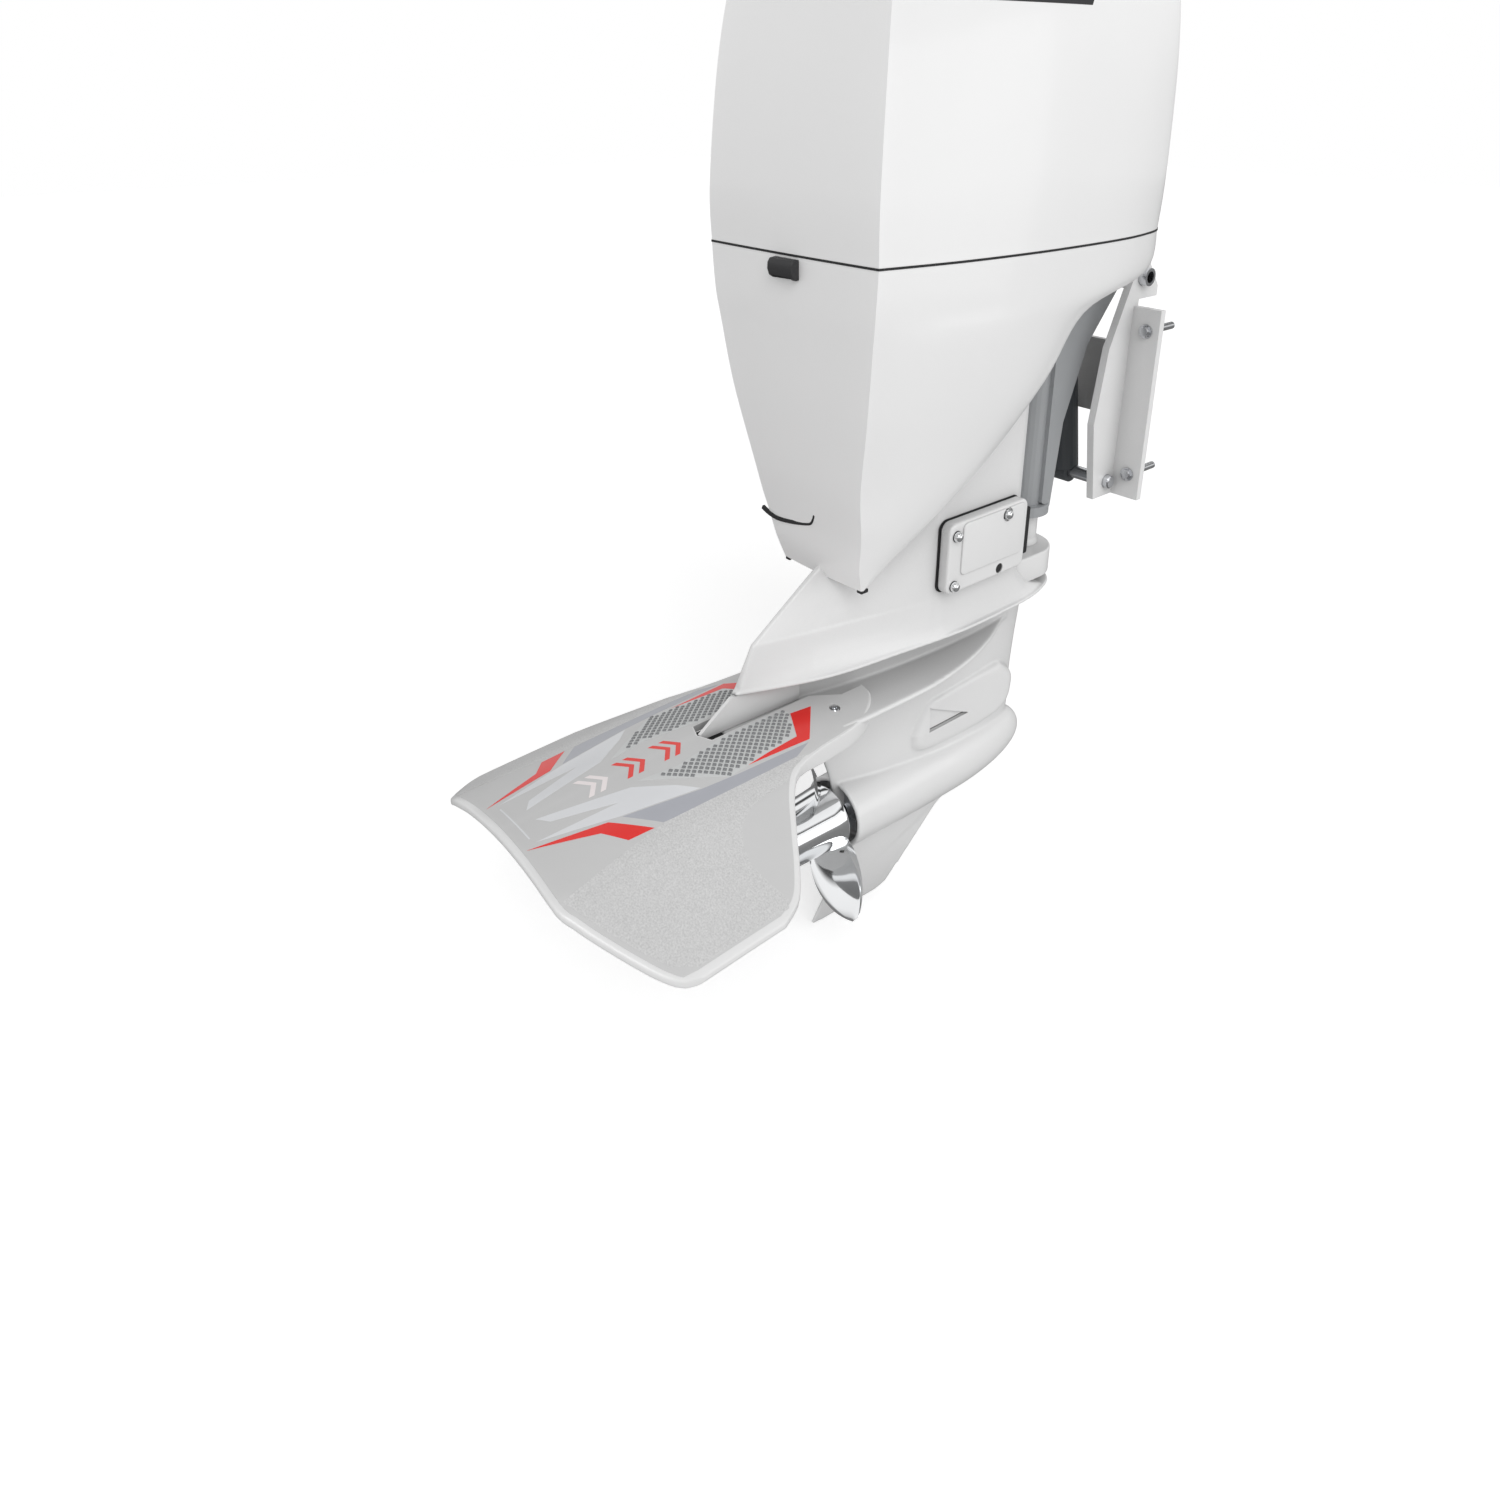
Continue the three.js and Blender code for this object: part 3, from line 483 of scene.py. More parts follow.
def sheet(name, outline, lift, thick, step):
    """A thin film with the given plan outline, laid on the foil's top face in a grid of cells."""
    bm = bmesh.new()
    verts = [bm.verts.new((x, y, 0)) for x, y in outline]
    bm.faces.new(verts)
    for axis, normal in enumerate(((1, 0, 0), (0, 1, 0))):
        values = [p[axis] for p in outline]
        cut_at = math.floor(min(values) / step) * step
        while cut_at < max(values):
            bmesh.ops.bisect_plane(bm, geom=bm.verts[:] + bm.edges[:] + bm.faces[:],
                                   plane_co=Vector(normal) * cut_at, plane_no=normal)
            cut_at += step
    bmesh.ops.triangulate(bm, faces=bm.faces[:])
    count = len(bm.verts)
    bm.verts.index_update()
    flat = [tuple(v.co) for v in bm.verts]
    tris = [tuple(v.index for v in f.verts) for f in bm.faces]
    rim = [(e.verts[0].index, e.verts[1].index) for e in bm.edges if len(e.link_faces) == 1]
    bm.free()
    verts = [leg_point(x, y, foil_top(x, y) + lift) for x, y, _ in flat]
    verts += [leg_point(x, y, foil_top(x, y) + lift - thick) for x, y, _ in flat]
    faces = tris + [tuple(i + count for i in reversed(t)) for t in tris]
    faces += [(a, b, b + count, a + count) for a, b in rim]
    film = new_object(name, verts, faces)
    smooth_shade(film, 40)
    return film


RIM = 8.0  # width of the foil's white rim, which is narrower along its front


def foil_skin_outline():
    """Half of the grey top skin, inside the white rim, as a closed outline."""
    tip_x, channel_x = FOIL_SPAN - RIM, 47
    rear = [(x, y + RIM * 1.1) for x, y in FOIL_REAR_LINE if 0 < x < tip_x]
    front = [(x - (3 if y > -60 else RIM * 0.6), y - (4 if y > 60 else RIM * 0.8))
             for x, y in FOIL_FRONT_LINE if channel_x < x < tip_x]
    tip = [(tip_x, -348), (tip_x, -226)]
    slot_x = SLOT_HALF + 1.5
    inner = [(channel_x, 98), (channel_x, 60), (slot_x, 19), (slot_x, -156), (0, -165.5)]
    return [(0, -FOIL_TAIL + RIM * 1.1)] + rear + tip + list(reversed(front)) + inner


def foil_skin(name):
    skin_sheet = sheet(name, foil_skin_outline(), 0.5, 1.2, 5.0)
    cut(skin_sheet, [screw_well(1)])
    smooth_shade(skin_sheet, 40)
    return skin_sheet


# Starboard outlines of what lies on the foil's top, as (x, y). The grip grain covers the wing
# from just inside the crease, but not the smooth scoop at its front.
GRIP = [(127, -448), (150, -434), (172, -419), (208, -393), (229, -374), (242, -346), (242, -212),
        (235, -206), (211, -217), (187, -225), (167, -220), (149, -207), (138, -184), (133, -150),
        (132, -120), (121, -100), (111, -68), (109, -80), (107, -178), (104, -290), (109, -330)]
PAD = [(30, -280), (37, -224), (28, -156), (25, -146), (25, -34), (37, -32), (78, -55), (90, -178)]
FRONT_FLASH = [(86, -158), (80.5, -56), (39, -31), (43, 4), (93, -44)]
REAR_FLASH = [(50, -447), (77, -364), (102, -342), (104, -306), (68, -348)]
LIGHT_PANEL = [(11, -414), (26, -402), (48.5, -320), (45, -432), (68, -331), (85, -222), (65, -244),
               (35, -293)]
DARK_PANEL = [(70, -329), (103, -292), (107, -240), (108, -80), (97, -50), (92, -165), (87, -222)]
# How far above the foil's face the tops of the printed panels and of the stud pads lie.
PRINT_LIFT, PANEL_LIFT, PAD_LIFT = 0.75, 0.65, 0.9
PRINT_THICK = 0.4
STUD_PITCH = 9.4
STUD_TALL = 1.7
STUD_TOP = 0.34  # size of a stud's top against its foot


def inside(outline, x, y, margin):
    """True if the point lies inside a closed outline, at least margin from its edges."""
    hit = False
    for (x0, y0), (x1, y1) in zip(outline, outline[1:] + outline[:1]):
        if (y0 > y) != (y1 > y) and x < x0 + (y - y0) * (x1 - x0) / (y1 - y0):
            hit = not hit
        edge = Vector((x1 - x0, y1 - y0))
        offset = Vector((x - x0, y - y0))
        nearest = edge * min(1.0, max(0.0, (offset @ edge) / edge.length_squared))
        if (offset - nearest).length < margin:
            return False
    return hit


def stud_field(name):
    """Rows of low diamond studs over the pad."""
    verts, faces = [], []
    half = STUD_PITCH * 0.36
    row = 0
    y = -276.0
    while y < -30:
        x = 16 + (STUD_PITCH / 2 if row % 2 else 0)
        while x < 92:
            if inside(PAD, x, y, half * 0.9):
                base = len(verts)
                ring = [(x - half, y), (x, y - half * 1.15), (x + half, y), (x, y + half * 1.15)]
                verts += [leg_point(u, v, foil_top(u, v) + PAD_LIFT) for u, v in ring]
                verts += [leg_point(x + (u - x) * STUD_TOP, y + (v - y) * STUD_TOP,
                                    foil_top(u, v) + PAD_LIFT + STUD_TALL) for u, v in ring]
                for k in range(4):
                    a, b = base + k, base + (k + 1) % 4
                    faces.append((a, b, b + 4, a + 4))
                faces += [tuple(base + 4 + k for k in range(4)), tuple(base + k for k in (3, 2, 1, 0))]
            x += STUD_PITCH
        y += STUD_PITCH * 0.62
        row += 1
    return new_object(name, verts, faces)


def chevron(name, y, half, deep, thick):
    """A plain arrowhead stripe across the centre line, pointing forward."""
    outline = [(-half, y), (0, y + deep), (half, y), (half, y - thick), (0, y + deep - thick),
               (-half, y - thick)]
    return sheet(name, outline, PRINT_LIFT, PRINT_THICK, 8.0)


def pair(make, name, material, body="motor"):
    """A starboard piece and its mirror image."""
    piece = make(f"{name}_starboard")
    place(mirrored(piece, f"{name}_port"), body, material)
    place(piece, body, material)


CHEVRONS = (-205, -222, -262, -279, -319, -336)
# Films on the foil: (name, outline, lift, thickness, grid step, finish).
FILMS = [("foil_grip", GRIP, PRINT_LIFT, 0.6, 5.0, "foil_grain"),
         ("stud_pad", PAD, PAD_LIFT, 0.8, 7.0, "pad_grey"),
         ("flash_front", FRONT_FLASH, PRINT_LIFT, PRINT_THICK, 7.0, "flash_red"),
         ("flash_rear", REAR_FLASH, PRINT_LIFT, PRINT_THICK, 7.0, "flash_red"),
         ("panel_light", LIGHT_PANEL, PANEL_LIFT, PRINT_THICK, 7.0, "panel_light"),
         ("panel_dark", DARK_PANEL, PANEL_LIFT, PRINT_THICK, 7.0, "panel_blue")]


def build_foil():
    place(foil_body(), "motor", "white_paint", "hydrofoil")
    pair(foil_skin, "foil_skin", "foil_plastic")
    for film, outline, lift, thick, step, finish in FILMS:
        pair(lambda name: sheet(name, outline, lift, thick, step), film, finish)
    pair(stud_field, "studs", "stud_dark")
    for number, y in enumerate(CHEVRONS):
        finish = "chevron_white" if y < -300 else "chevron_red"
        place(chevron(f"chevron_{number + 1}", y, 19, 15, 8), "motor", finish)
    stripe = [(-36, -437), (36, -437), (36, -435), (-36, -435)]
    place(sheet("name_line", stripe, PRINT_LIFT, PRINT_THICK, 9.0), "motor", "panel_light")
    # Painted shade: a thin black sheet below the open rear of the fin's slot stands for the shade seen
    # through it; the foil has no seal there.
    shade_sheet_x = SLOT_HALF - 0.5
    place(block("slot_shade_sheet", (-shade_sheet_x, -158, -15), (shade_sheet_x, -123, -12)), "motor", "black_rubber")
    profile = [(7.0, -7.8), (7.0, -5.6), (6.2, -4.5), (3.4, -4.4), (3.2, -6.6)]
    for side, sign in SIDES:
        cap = turned(f"foil_bolt_{side}", profile, "z", (SCREW[0] * sign, SCREW[1], 0), 32)
        smooth_shade(cap, 35)
        place(cap, "motor", "shaft_steel", f"foil_screw_{side}")


# ---- gearcase ----
PROP_Z = -250  # height of the propeller's axis
# The strut's sections as (z, leading edge, trailing edge, half thickness).
STRUT = [(35, 530, 14.6, 34), (-20, 524, 14.6, 33), (-80, 517, 40, 31), (-150, 512, 75, 30),
         (-200, 512, 92, 34), (-246, 500, 99, 40)]
PLATE_EDGE = [(0, -122), (60, -118), (88, -70), (102, 20), (105, 120), (103, 206), (89, 293),
              (67, 367), (40, 429), (22, 478), (6, 520), (0, 522)]
TORPEDO_R = 61
SKEG = [(410, -296), (336, -344), (280, -394), (222, -446), (200, -451), (176, -452), (62, -447),
        (57, -444), (89, -398), (106, -350), (116, -296)]


def strut_ring(z, lead, tail, thick):
    """A round-nosed section that tapers to its trailing edge."""
    steps = 24
    half = []
    for i in range(steps, -1, -1):
        s = (i / steps) ** 1.8
        width = 2.6 * math.sqrt(s) * (1 - s) ** 0.75 * thick
        half.append((0.0 if i == 0 else max(3.0, width), lead + (tail - lead) * s))
    return [(x, y, z) for x, y in both_sides(half)]


def torpedo():
    profile = [(0, 128), (50, 128), (50, 98), (57.5, 98), (58, 99)]
    profile += [(59, 160), (60.5, 210), (TORPEDO_R, 250), (TORPEDO_R, 290)]
    for i in range(25):
        a = math.pi / 2 * i / 24
        profile.append((TORPEDO_R * max(0.0, math.cos(a)) ** 0.8, 330 + 206 * math.sin(a)))
    return turned("torpedo", profile, "y", (0, 0, PROP_Z), 96)


def skeg():
    """The fin below, thicker towards its front and its root."""
    rings = []
    for sign in (1, -1):
        rings.append([(sign * (2.2 + 5.5 * smoothstep(60, 320, y)) * (1.6 if z > -300 else 1.0), y, z)
                      for y, z in SKEG])
    return skin("skeg", rings)


FAIRING_X = 40  # how far out the intake fairing's face lies
FAIRING = [(236, -156), (262, -108), (300, -97), (420, -92), (462, -108), (484, -142), (450, -190),
           (262, -190)]
# The dome's steps: (distance out, size of the outline there).
FAIRING_STEPS = ((8, 1.06), (26, 1.03), (33, 0.99), (37, 0.94), (39.3, 0.88), (FAIRING_X, 0.8))


def intake_fairing():
    """A low dome over the water intake, with a flat face."""
    outline = spline(FAIRING + FAIRING[:1], 6)[:-1]
    middle_y, middle_z = 350, -142
    rings = []
    for x, scale in FAIRING_STEPS:
        rings.append([(x, middle_y + (y - middle_y) * scale, middle_z + (z - middle_z) * scale)
                      for y, z in outline])
    return skin("fairing", rings)


def build_gearcase():
    strut = skin("strut", [strut_ring(*row) for row in spline(STRUT, 4)])
    plate = extruded("plate", both_sides(spline(PLATE_EDGE, 6)), "z", -18, -10)
    fairing = intake_fairing()
    shells = [torpedo(), strut, plate, skeg(), fairing, mirrored(fairing, "fairing_port")]
    housing = melt(join("gearcase_casting", shells), 2.2, 6)
    cuts = []
    outside = FAIRING_X + 6
    for sign in (1, -1):
        near, far = sorted((sign * (FAIRING_X - 4), sign * outside))
        cuts.append(extruded("dish", [(268, -112), (268, -156.4), (364, -156.4)], "x", near, far))
        near, far = sorted((sign * 30, sign * outside))
        cuts.append(block("slot", (near, 272, -155.6), (far, 358, -152.4)))
    cut(housing, cuts)
    smooth_shade(housing, 40)
    place(housing, "motor", "white_paint", "gearcase_housing")


# ---- midsection ----
SPLASH_EDGE = [(0, -97), (10, -88), (51, 32), (68, 157), (80, 273), (80, 371), (74, 460), (56, 522),
               (32, 549), (0, 560)]
SPLASH_LINE = spline(SPLASH_EDGE, 6)
# The splash plate's thickness as (height, how far its edge is drawn in there).
SPLASH_LEVELS = [(36, 1.2), (37, 0.3), (38, 0), (40.6, 0), (41.3, 0.5), (41.8, 1.6)]
LEG_FRONT = 430
LEG_TURN = 230.0  # ahead of this the leg's flanks are parallel
FLARE_FRONT = 520
# How far the leg has widened towards the splash plate at each height.
FLARE = [(37.5, 0.84), (41.5, 0.84), (43.5, 0.79), (46, 0.72), (49, 0.64), (53, 0.54), (59, 0.42),
         (67, 0.3), (76, 0.19), (88, 0.1), (102, 0.03)]


def trailing_edge(z):
    """The leg's trailing edge: steep just above the plate, then slanting forward."""
    if z < 103:
        return -90 + 23 * (z - 36) / 67
    return -67 + 1.44 * (z - 103)


def leg_half(z):
    """Half the leg's section at a height, from its trailing edge to its front face, as (x, y)."""
    y0 = min(LEG_TURN, trailing_edge(z))
    half = []
    for i in range(17):
        y = y0 + (240 - y0) * i / 16
        rise = min(1.0, max(0.0, (y - y0) / (226 - y0)))
        half.append((3 + 63 * rise ** 0.92, y))
    corner = [(66, 40), (65, 22), (61, 9), (54, 1), (45, 0)]
    return half + [(x, LEG_FRONT - back) for x, back in corner]


def leg_ring(z):
    return [(x, y, z) for x, y in both_sides(leg_half(z))]


def splash_ring(z, inset):
    """The splash plate's outline at a height, drawn in by inset."""
    last = len(SPLASH_LINE) - 1
    half = []
    for i, (x, y) in enumerate(SPLASH_LINE):
        across = max(x - inset, 0.2) if 0 < i < last else 0.0
        half.append((across, LEG_TURN + (y - LEG_TURN) * (1 - inset / 320), z))
    return half + [(-x, y, z) for x, y, z in reversed(half[1:-1])]


def splash_width(y):
    """Half width of the splash plate at a given place."""
    return along([(b, a) for a, b in SPLASH_LINE], y)


def flare_ring(z, weight):
    """The leg's section, widened towards the splash plate's edge by a weight of 0 to 1."""
    leg = leg_half(z)
    rear = leg[0][1]
    ring = []
    for x, y in leg:
        if y <= LEG_TURN:
            edge_y = LEG_TURN - (LEG_TURN - y) * (LEG_TURN + 95) / (LEG_TURN - rear)
        else:
            edge_y = LEG_TURN + (y - LEG_TURN) * (FLARE_FRONT - LEG_TURN) / (LEG_FRONT - LEG_TURN)
        ring.append((x + (max(x, splash_width(edge_y)) - x) * weight, y + (edge_y - y) * weight))
    return [(x, y, z) for x, y in both_sides(ring)]


def build_midsection():
    flare = skin("flare", [splash_ring(z, inset) for z, inset in SPLASH_LEVELS])
    low = skin("low", [flare_ring(z, weight) for z, weight in spline(FLARE, 3)])
    high = skin("high", [leg_ring(z) for z in (102, 130, 160, 200, 250, 300)])
    trunk = skin("trunk", [[(x, y, z) for x, y, _ in leg_ring(299)] for z in (295, 470)])
    casting = melt(join("midsection_casting", [flare, low, high, trunk]), 1.9, 3)
    place(casting, "motor", "white_paint", "midsection_housing")


# ---- cowls ----
# Sections as (z, rear, front, half width of the rear face, full half width).
CHIN = [(172, 60, 68, 77, 78), (208, 48, 122, 84, 90), (245, 41, 182, 92, 104),
        (275, 34, 226, 98, 114), (330, 22, 300, 106, 130), (430, 6, 392, 128, 156),
        (520, -4, 452, 142, 174), (562, -8, 596, 148, 182), (619.6, -10, 604, 152, 188)]
DOME = [(620.4, -10, 604, 152, 188), (700, -12, 606, 152, 190), (860, 0, 604, 144, 184),
        (980, 22, 590, 128, 168), (1050, 50, 560, 104, 142), (1090, 92, 510, 66, 100),
        (1102, 150, 440, 30, 60)]
DOME_LEVELS = spline(DOME, 8)
COWL_WALL = 4
SEAL_LOW, SEAL_HIGH = 618.6, 621.4  # the rubber seal at the cowls' split
LOUVRES, LOUVRE_FOOT, LOUVRE_PITCH, LOUVRE_TALL = 5, 900, 14, 7
LOUVRE_SPAN = slice(12, 23)  # the points of a cowl section between which the slats run


def cowl_ring(z, rear, front, rear_half, full_half):
    """A cowl section: a nearly flat rear face, then flanks that close in towards the front."""
    length = front - rear
    flank = [(rear_half, rear), ((rear_half + full_half * 2) / 3, rear + length * 0.22),
             (full_half, rear + length * 0.5), (full_half * 0.96, rear + length * 0.78),
             (full_half * 0.72, rear + length * 0.95), (0, front)]
    face = [(rear_half * i / 6, rear - 3 * (1 - (i / 6) ** 2)) for i in range(6)]
    return [(x, y, z) for x, y in both_sides(face + spline(flank, 8))]


def cowl_shell(name, levels, closed_z):
    """A cowl with walls, closed at one height and open at its other end."""
    obj = skin(name, [cowl_ring(*level) for level in levels], cap=False)
    cap_end(obj, closed_z)
    thicken = obj.modifiers.new("thicken", "SOLIDIFY")
    thicken.thickness = COWL_WALL * MM
    thicken.offset = -1.0
    apply_modifiers(obj)
    smooth_shade(obj, 28)
    return obj


def build_cowls():
    lower = cowl_shell("lower_cowl_shell", spline(CHIN, 6), CHIN[0][0])
    upper = cowl_shell("top_cowl_shell", DOME_LEVELS, DOME[-1][0])
    place(lower, "motor", "cowl_white", "lower_cowl")
    place(upper, "hood", "cowl_white", "top_cowl")


def build_cowl_details():
    """The latch, the rubber seal at the split and the louvres at the top."""
    profile = [(-11, 591), (-17, 590.4), (-23, 594), (-26, 602), (-25.6, 610), (-22, 615), (-11, 616)]
    latch = extruded("cowl_latch_handle", profile, "x", -22, 22)
    cut(latch, [block("finger_hollow", (-15, -22, 585), (15, -13, 599))])
    bevel(latch, 1.2, 3)
    apply_modifiers(latch)
    smooth_shade(latch, 35)
    place(latch, body_of_node("cowl_latch"), "black_plastic", "cowl_latch")
    section = ((SEAL_LOW, 0.6), (SEAL_HIGH, 0.6), (SEAL_HIGH, -3), (SEAL_LOW, -3))
    split = [ring_out(CHIN[-1], z, out) for z, out in section]
    place(skin("cowl_seal", split + split[:1], cap=False), "motor", "black_rubber")
    for number in range(LOUVRES):
        low = LOUVRE_FOOT + LOUVRE_PITCH * number
        pair(lambda name: louvre(name, low, low + LOUVRE_TALL), f"cowl_louvre_{number + 1}",
             "black_plastic", "hood")


def ring_out(level, z, out):
    """A cowl section moved outward by a margin, at a height of its own."""
    _, rear, front, rear_half, full_half = level
    return cowl_ring(z, rear - out, front + out, rear_half + out, full_half + out)


def louvre(name, low, high):
    """A slat that follows the top cowl's flank between two heights."""
    edges = []
    for z, out in ((low, 0.2), (high, 2.4), (high, -2.0), (low, -2.0)):
        level = [along([(row[0], row[k]) for row in DOME_LEVELS], z) for k in range(5)]
        edges.append(ring_out(level, z, out)[LOUVRE_SPAN])
    verts = [leg_point(*p) for points in zip(*edges) for p in points]
    faces = []
    for i in range(len(edges[0]) - 1):
        for k in range(4):
            a, b = 4 * i + k, 4 * i + (k + 1) % 4
            faces.append((a, b, b + 4, a + 4))
    last = len(verts) - 4
    faces += [(3, 2, 1, 0), (last, last + 1, last + 2, last + 3)]
    slat = new_object(name, verts, faces)
    smooth_shade(slat, 35)
    return slat


def cap_end(obj, z):
    """Closes the open end of a shell at the given height with one face."""
    bm = bmesh.new()
    bm.from_mesh(obj.data)
    height = leg_point(0, 0, z).z
    rim = [e for e in bm.edges if e.is_boundary and all(abs(v.co.z - height) < 1e-5 for v in e.verts)]
    bmesh.ops.holes_fill(bm, edges=rim)
    bmesh.ops.recalc_face_normals(bm, faces=bm.faces)
    bm.to_mesh(obj.data)
    bm.free()


# ---- mounts, steering and brackets ----
def rounded(y0, y1, z0, z1, radius, steps=8):
    """A rectangle with rounded corners, as (y, z) points."""
    points = []
    y0, y1, z0, z1 = y0 + radius, y1 - radius, z0 + radius, z1 - radius
    for cy, cz, start in ((y1, z1, 0), (y0, z1, 90), (y0, z0, 180), (y1, z0, 270)):
        for k in range(steps + 1):
            a = math.radians(start + 90 * k / steps)
            points.append((cy + radius * math.cos(a), cz + radius * math.sin(a)))
    return points


COVER = (228, 408, 114, 226)  # its rear, front, bottom and top
COVER_FACE = 86  # how far out the cover's face lies
DRAIN = (349, 125)
BOSSES = ((243, 206), (356, 212), (243, 127))
BOSS_NAMES = ("aft", "fore", "lower")


def cover_shell(name):
    y0, y1, z0, z1 = COVER
    shell = extruded(name, rounded(y0, y1, z0, z1, 14), "x", 67.4, COVER_FACE)
    bevel(shell, 4.0, 4)
    apply_modifiers(shell)
    holes = [turned("socket", [(8.5, 78), (8.5, 95)], "x", (0, y, z), 32) for y, z in BOSSES]
    holes.append(turned("drain", [(8, 80), (8, 95)], "x", (0, *DRAIN), 32))
    cut(shell, holes)
    smooth_shade(shell, 35)
    return shell


def cover_step(name):
    """The raised panel in the middle of the cover."""
    step = extruded(name, rounded(256, 398, 140, 222, 9), "x", COVER_FACE - 2, COVER_FACE + 2.6)
    bevel(step, 1.8, 3)
    apply_modifiers(step)
    fore_socket = turned("socket", [(11, 78), (11, 95)], "x", (0, *BOSSES[1]), 40)
    cut(step, [fore_socket])
    smooth_shade(step, 35)
    return step


def cover_gasket(name):
    y0, y1, z0, z1 = COVER
    return extruded(name, rounded(y0 - 2, y1 + 1, z0 - 2, z1 + 1, 15), "x", 66.1, 67.3)


def cap_bolt(name, y, z):
    """A domed cap over a bolt."""
    profile = [(0.01, 79), (7.6, 79), (7.8, 88), (7.2, 92), (5.4, 94.4), (2.8, 95.6), (0.01, 95.8)]
    return turned(name, profile, "x", (0, y, z), 40)


def cap_ring(name, y, z):
    """The dark ring where a cap sits in the cover."""
    profile = [(7.9, 80), (8.45, 80), (8.45, 87.2), (7.9, 87.2), (7.9, 80)]
    return turned(name, profile, "x", (0, y, z), 40)


PLUG = [(7.7, 79.5), (7.7, 84), (6.6, 85), (2.0, 85.2)]


def build_mount_covers():
    pair(cover_gasket, "mount_gasket", "black_rubber")
    for name, sign in SIDES:
        shell = cover_shell(f"mount_cover_shell_{name}")
        step = cover_step(f"mount_cover_panel_{name}")
        plug = turned(f"mount_drain_plug_{name}", PLUG, "x", (0, *DRAIN), 40)
        bolts = [cap_bolt(f"mount_cap_{boss}_{name}", *at) for boss, at in zip(BOSS_NAMES, BOSSES)]
        rings = [cap_ring(f"mount_ring_{boss}_{name}", *at) for boss, at in zip(BOSS_NAMES, BOSSES)]
        for piece in [shell, step, plug] + bolts + rings:
            if sign < 0:
                flip_side(piece)
            if not piece.name.startswith("mount_cover"):
                smooth_shade(piece, 35)
        place(shell, "motor", "white_paint", f"mount_cover_{name}")
        place(step, "motor", "white_paint")
        place(plug, "motor", "black_rubber")
        place(bolts[0], "motor", "stainless", f"mount_bolt_aft_{name}")
        place(bolts[1], "motor", "stainless", f"mount_bolt_fore_{name}")
        place(bolts[2], "motor", "stainless")
        for ring in rings:
            place(ring, "motor", "black_plastic")


AXIS_Y = 510  # the steering axis
SLEEVE = [(25.4, 100.2), (31, 100.2), (31, 106), (29, 109), (28.4, 112), (28.4, 153), (25.4, 153),
          (25.4, 100.2)]


def build_yoke():
    arc = []
    for degrees in range(0, 90, 6):
        a = math.radians(degrees)
        arc.append((58 * math.cos(a), AXIS_Y - 10 + 58 * math.sin(a)))
    half = [(0, 436), (54, 436), (57, 450), (58, 480)] + arc + [(0, AXIS_Y + 48)]
    yoke = extruded("lower_yoke_casting", both_sides(half), "z", 54.6, 100)
    cut(yoke, [turned("rod_bore", [(6, 40), (6, 120)], "z", (0, 448, 0), 24)])
    bevel(yoke, 5.0, 4, 50)
    apply_modifiers(yoke)
    smooth_shade(yoke, 35)
    place(yoke, "motor", "white_paint", "lower_yoke")
    sleeve = turned("steering_tube_sleeve", SLEEVE, "z", (0, AXIS_Y, 0), 64)
    smooth_shade(sleeve, 35)
    place(sleeve, "motor", "white_paint")
    for name, sign in SIDES:
        # Black rubber strips between the cover and the yoke: they stand for the mount's rubber and also
        # paint the shade in the gap in front of the cover.
        bumper = extruded(f"mount_rubber_gap_shade_{name}", rounded(425, 435, 122, 200, 3), "x", 50, 72)
        bevel(bumper, 1.5, 2)
        apply_modifiers(bumper)
        if sign < 0:
            flip_side(bumper)
        place(bumper, "motor", "black_rubber")


# Nodes that are plain round bars in the CAD: (node, axis, chamfer).
BARS = [("steering_shaft", "z", 1.0), ("lower_tie_bar", "x", 2.0), ("drive_shaft", "z", 1.0),
        ("shift_rod", "z", 1.0), ("crankshaft", "z", 1.0), ("starter_motor", "z", 4.0),
        ("oil_filter", "x", 5.0), ("throttle_body", "y", 2.0), ("upper_mount_starboard", "y", 2.0),
        ("upper_mount_port", "y", 2.0), ("lower_mount_starboard", "y", 2.0),
        ("lower_mount_port", "y", 2.0)]


def body_of_node(node):
    bodies = frame["record"]["behaviour"]["bodies"]
    return next(body for body, nodes in bodies.items() if node in nodes)


def slot_of_node(node):
    subparts = frame["record"]["subparts"]
    return next(part["material_slot"] for part in subparts if part["node"] == node)


def leg_box(node):
    """A CAD node's box in the leg frame."""
    return [(Vector(corner) - LEG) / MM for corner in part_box(node)]


def build_bars():
    """Fine round bars in the place of the faceted ones, sized by each node's own box."""
    for node, axis, chamfer in BARS:
        low, high = leg_box(node)
        i = "xyz".index(axis)
        across = [k for k in range(3) if k != i]
        radius = max(high[k] - low[k] for k in across) / 2
        at = [0.0, 0.0, 0.0]
        for k in across:
            at[k] = (low[k] + high[k]) / 2
        profile = [(radius - chamfer, low[i]), (radius, low[i] + chamfer), (radius, high[i] - chamfer),
                   (radius - chamfer, high[i])]
        bar = turned(f"{node}_round", profile, axis, at, 56)
        smooth_shade(bar, 30)
        place(bar, body_of_node(node), slot_of_node(node), node)


WASHER_R, HEAD_R, SHANK_R = 11, 9.4, 6.0
HEAD_TALL, WASHER_TALL = 4.8, 1.6


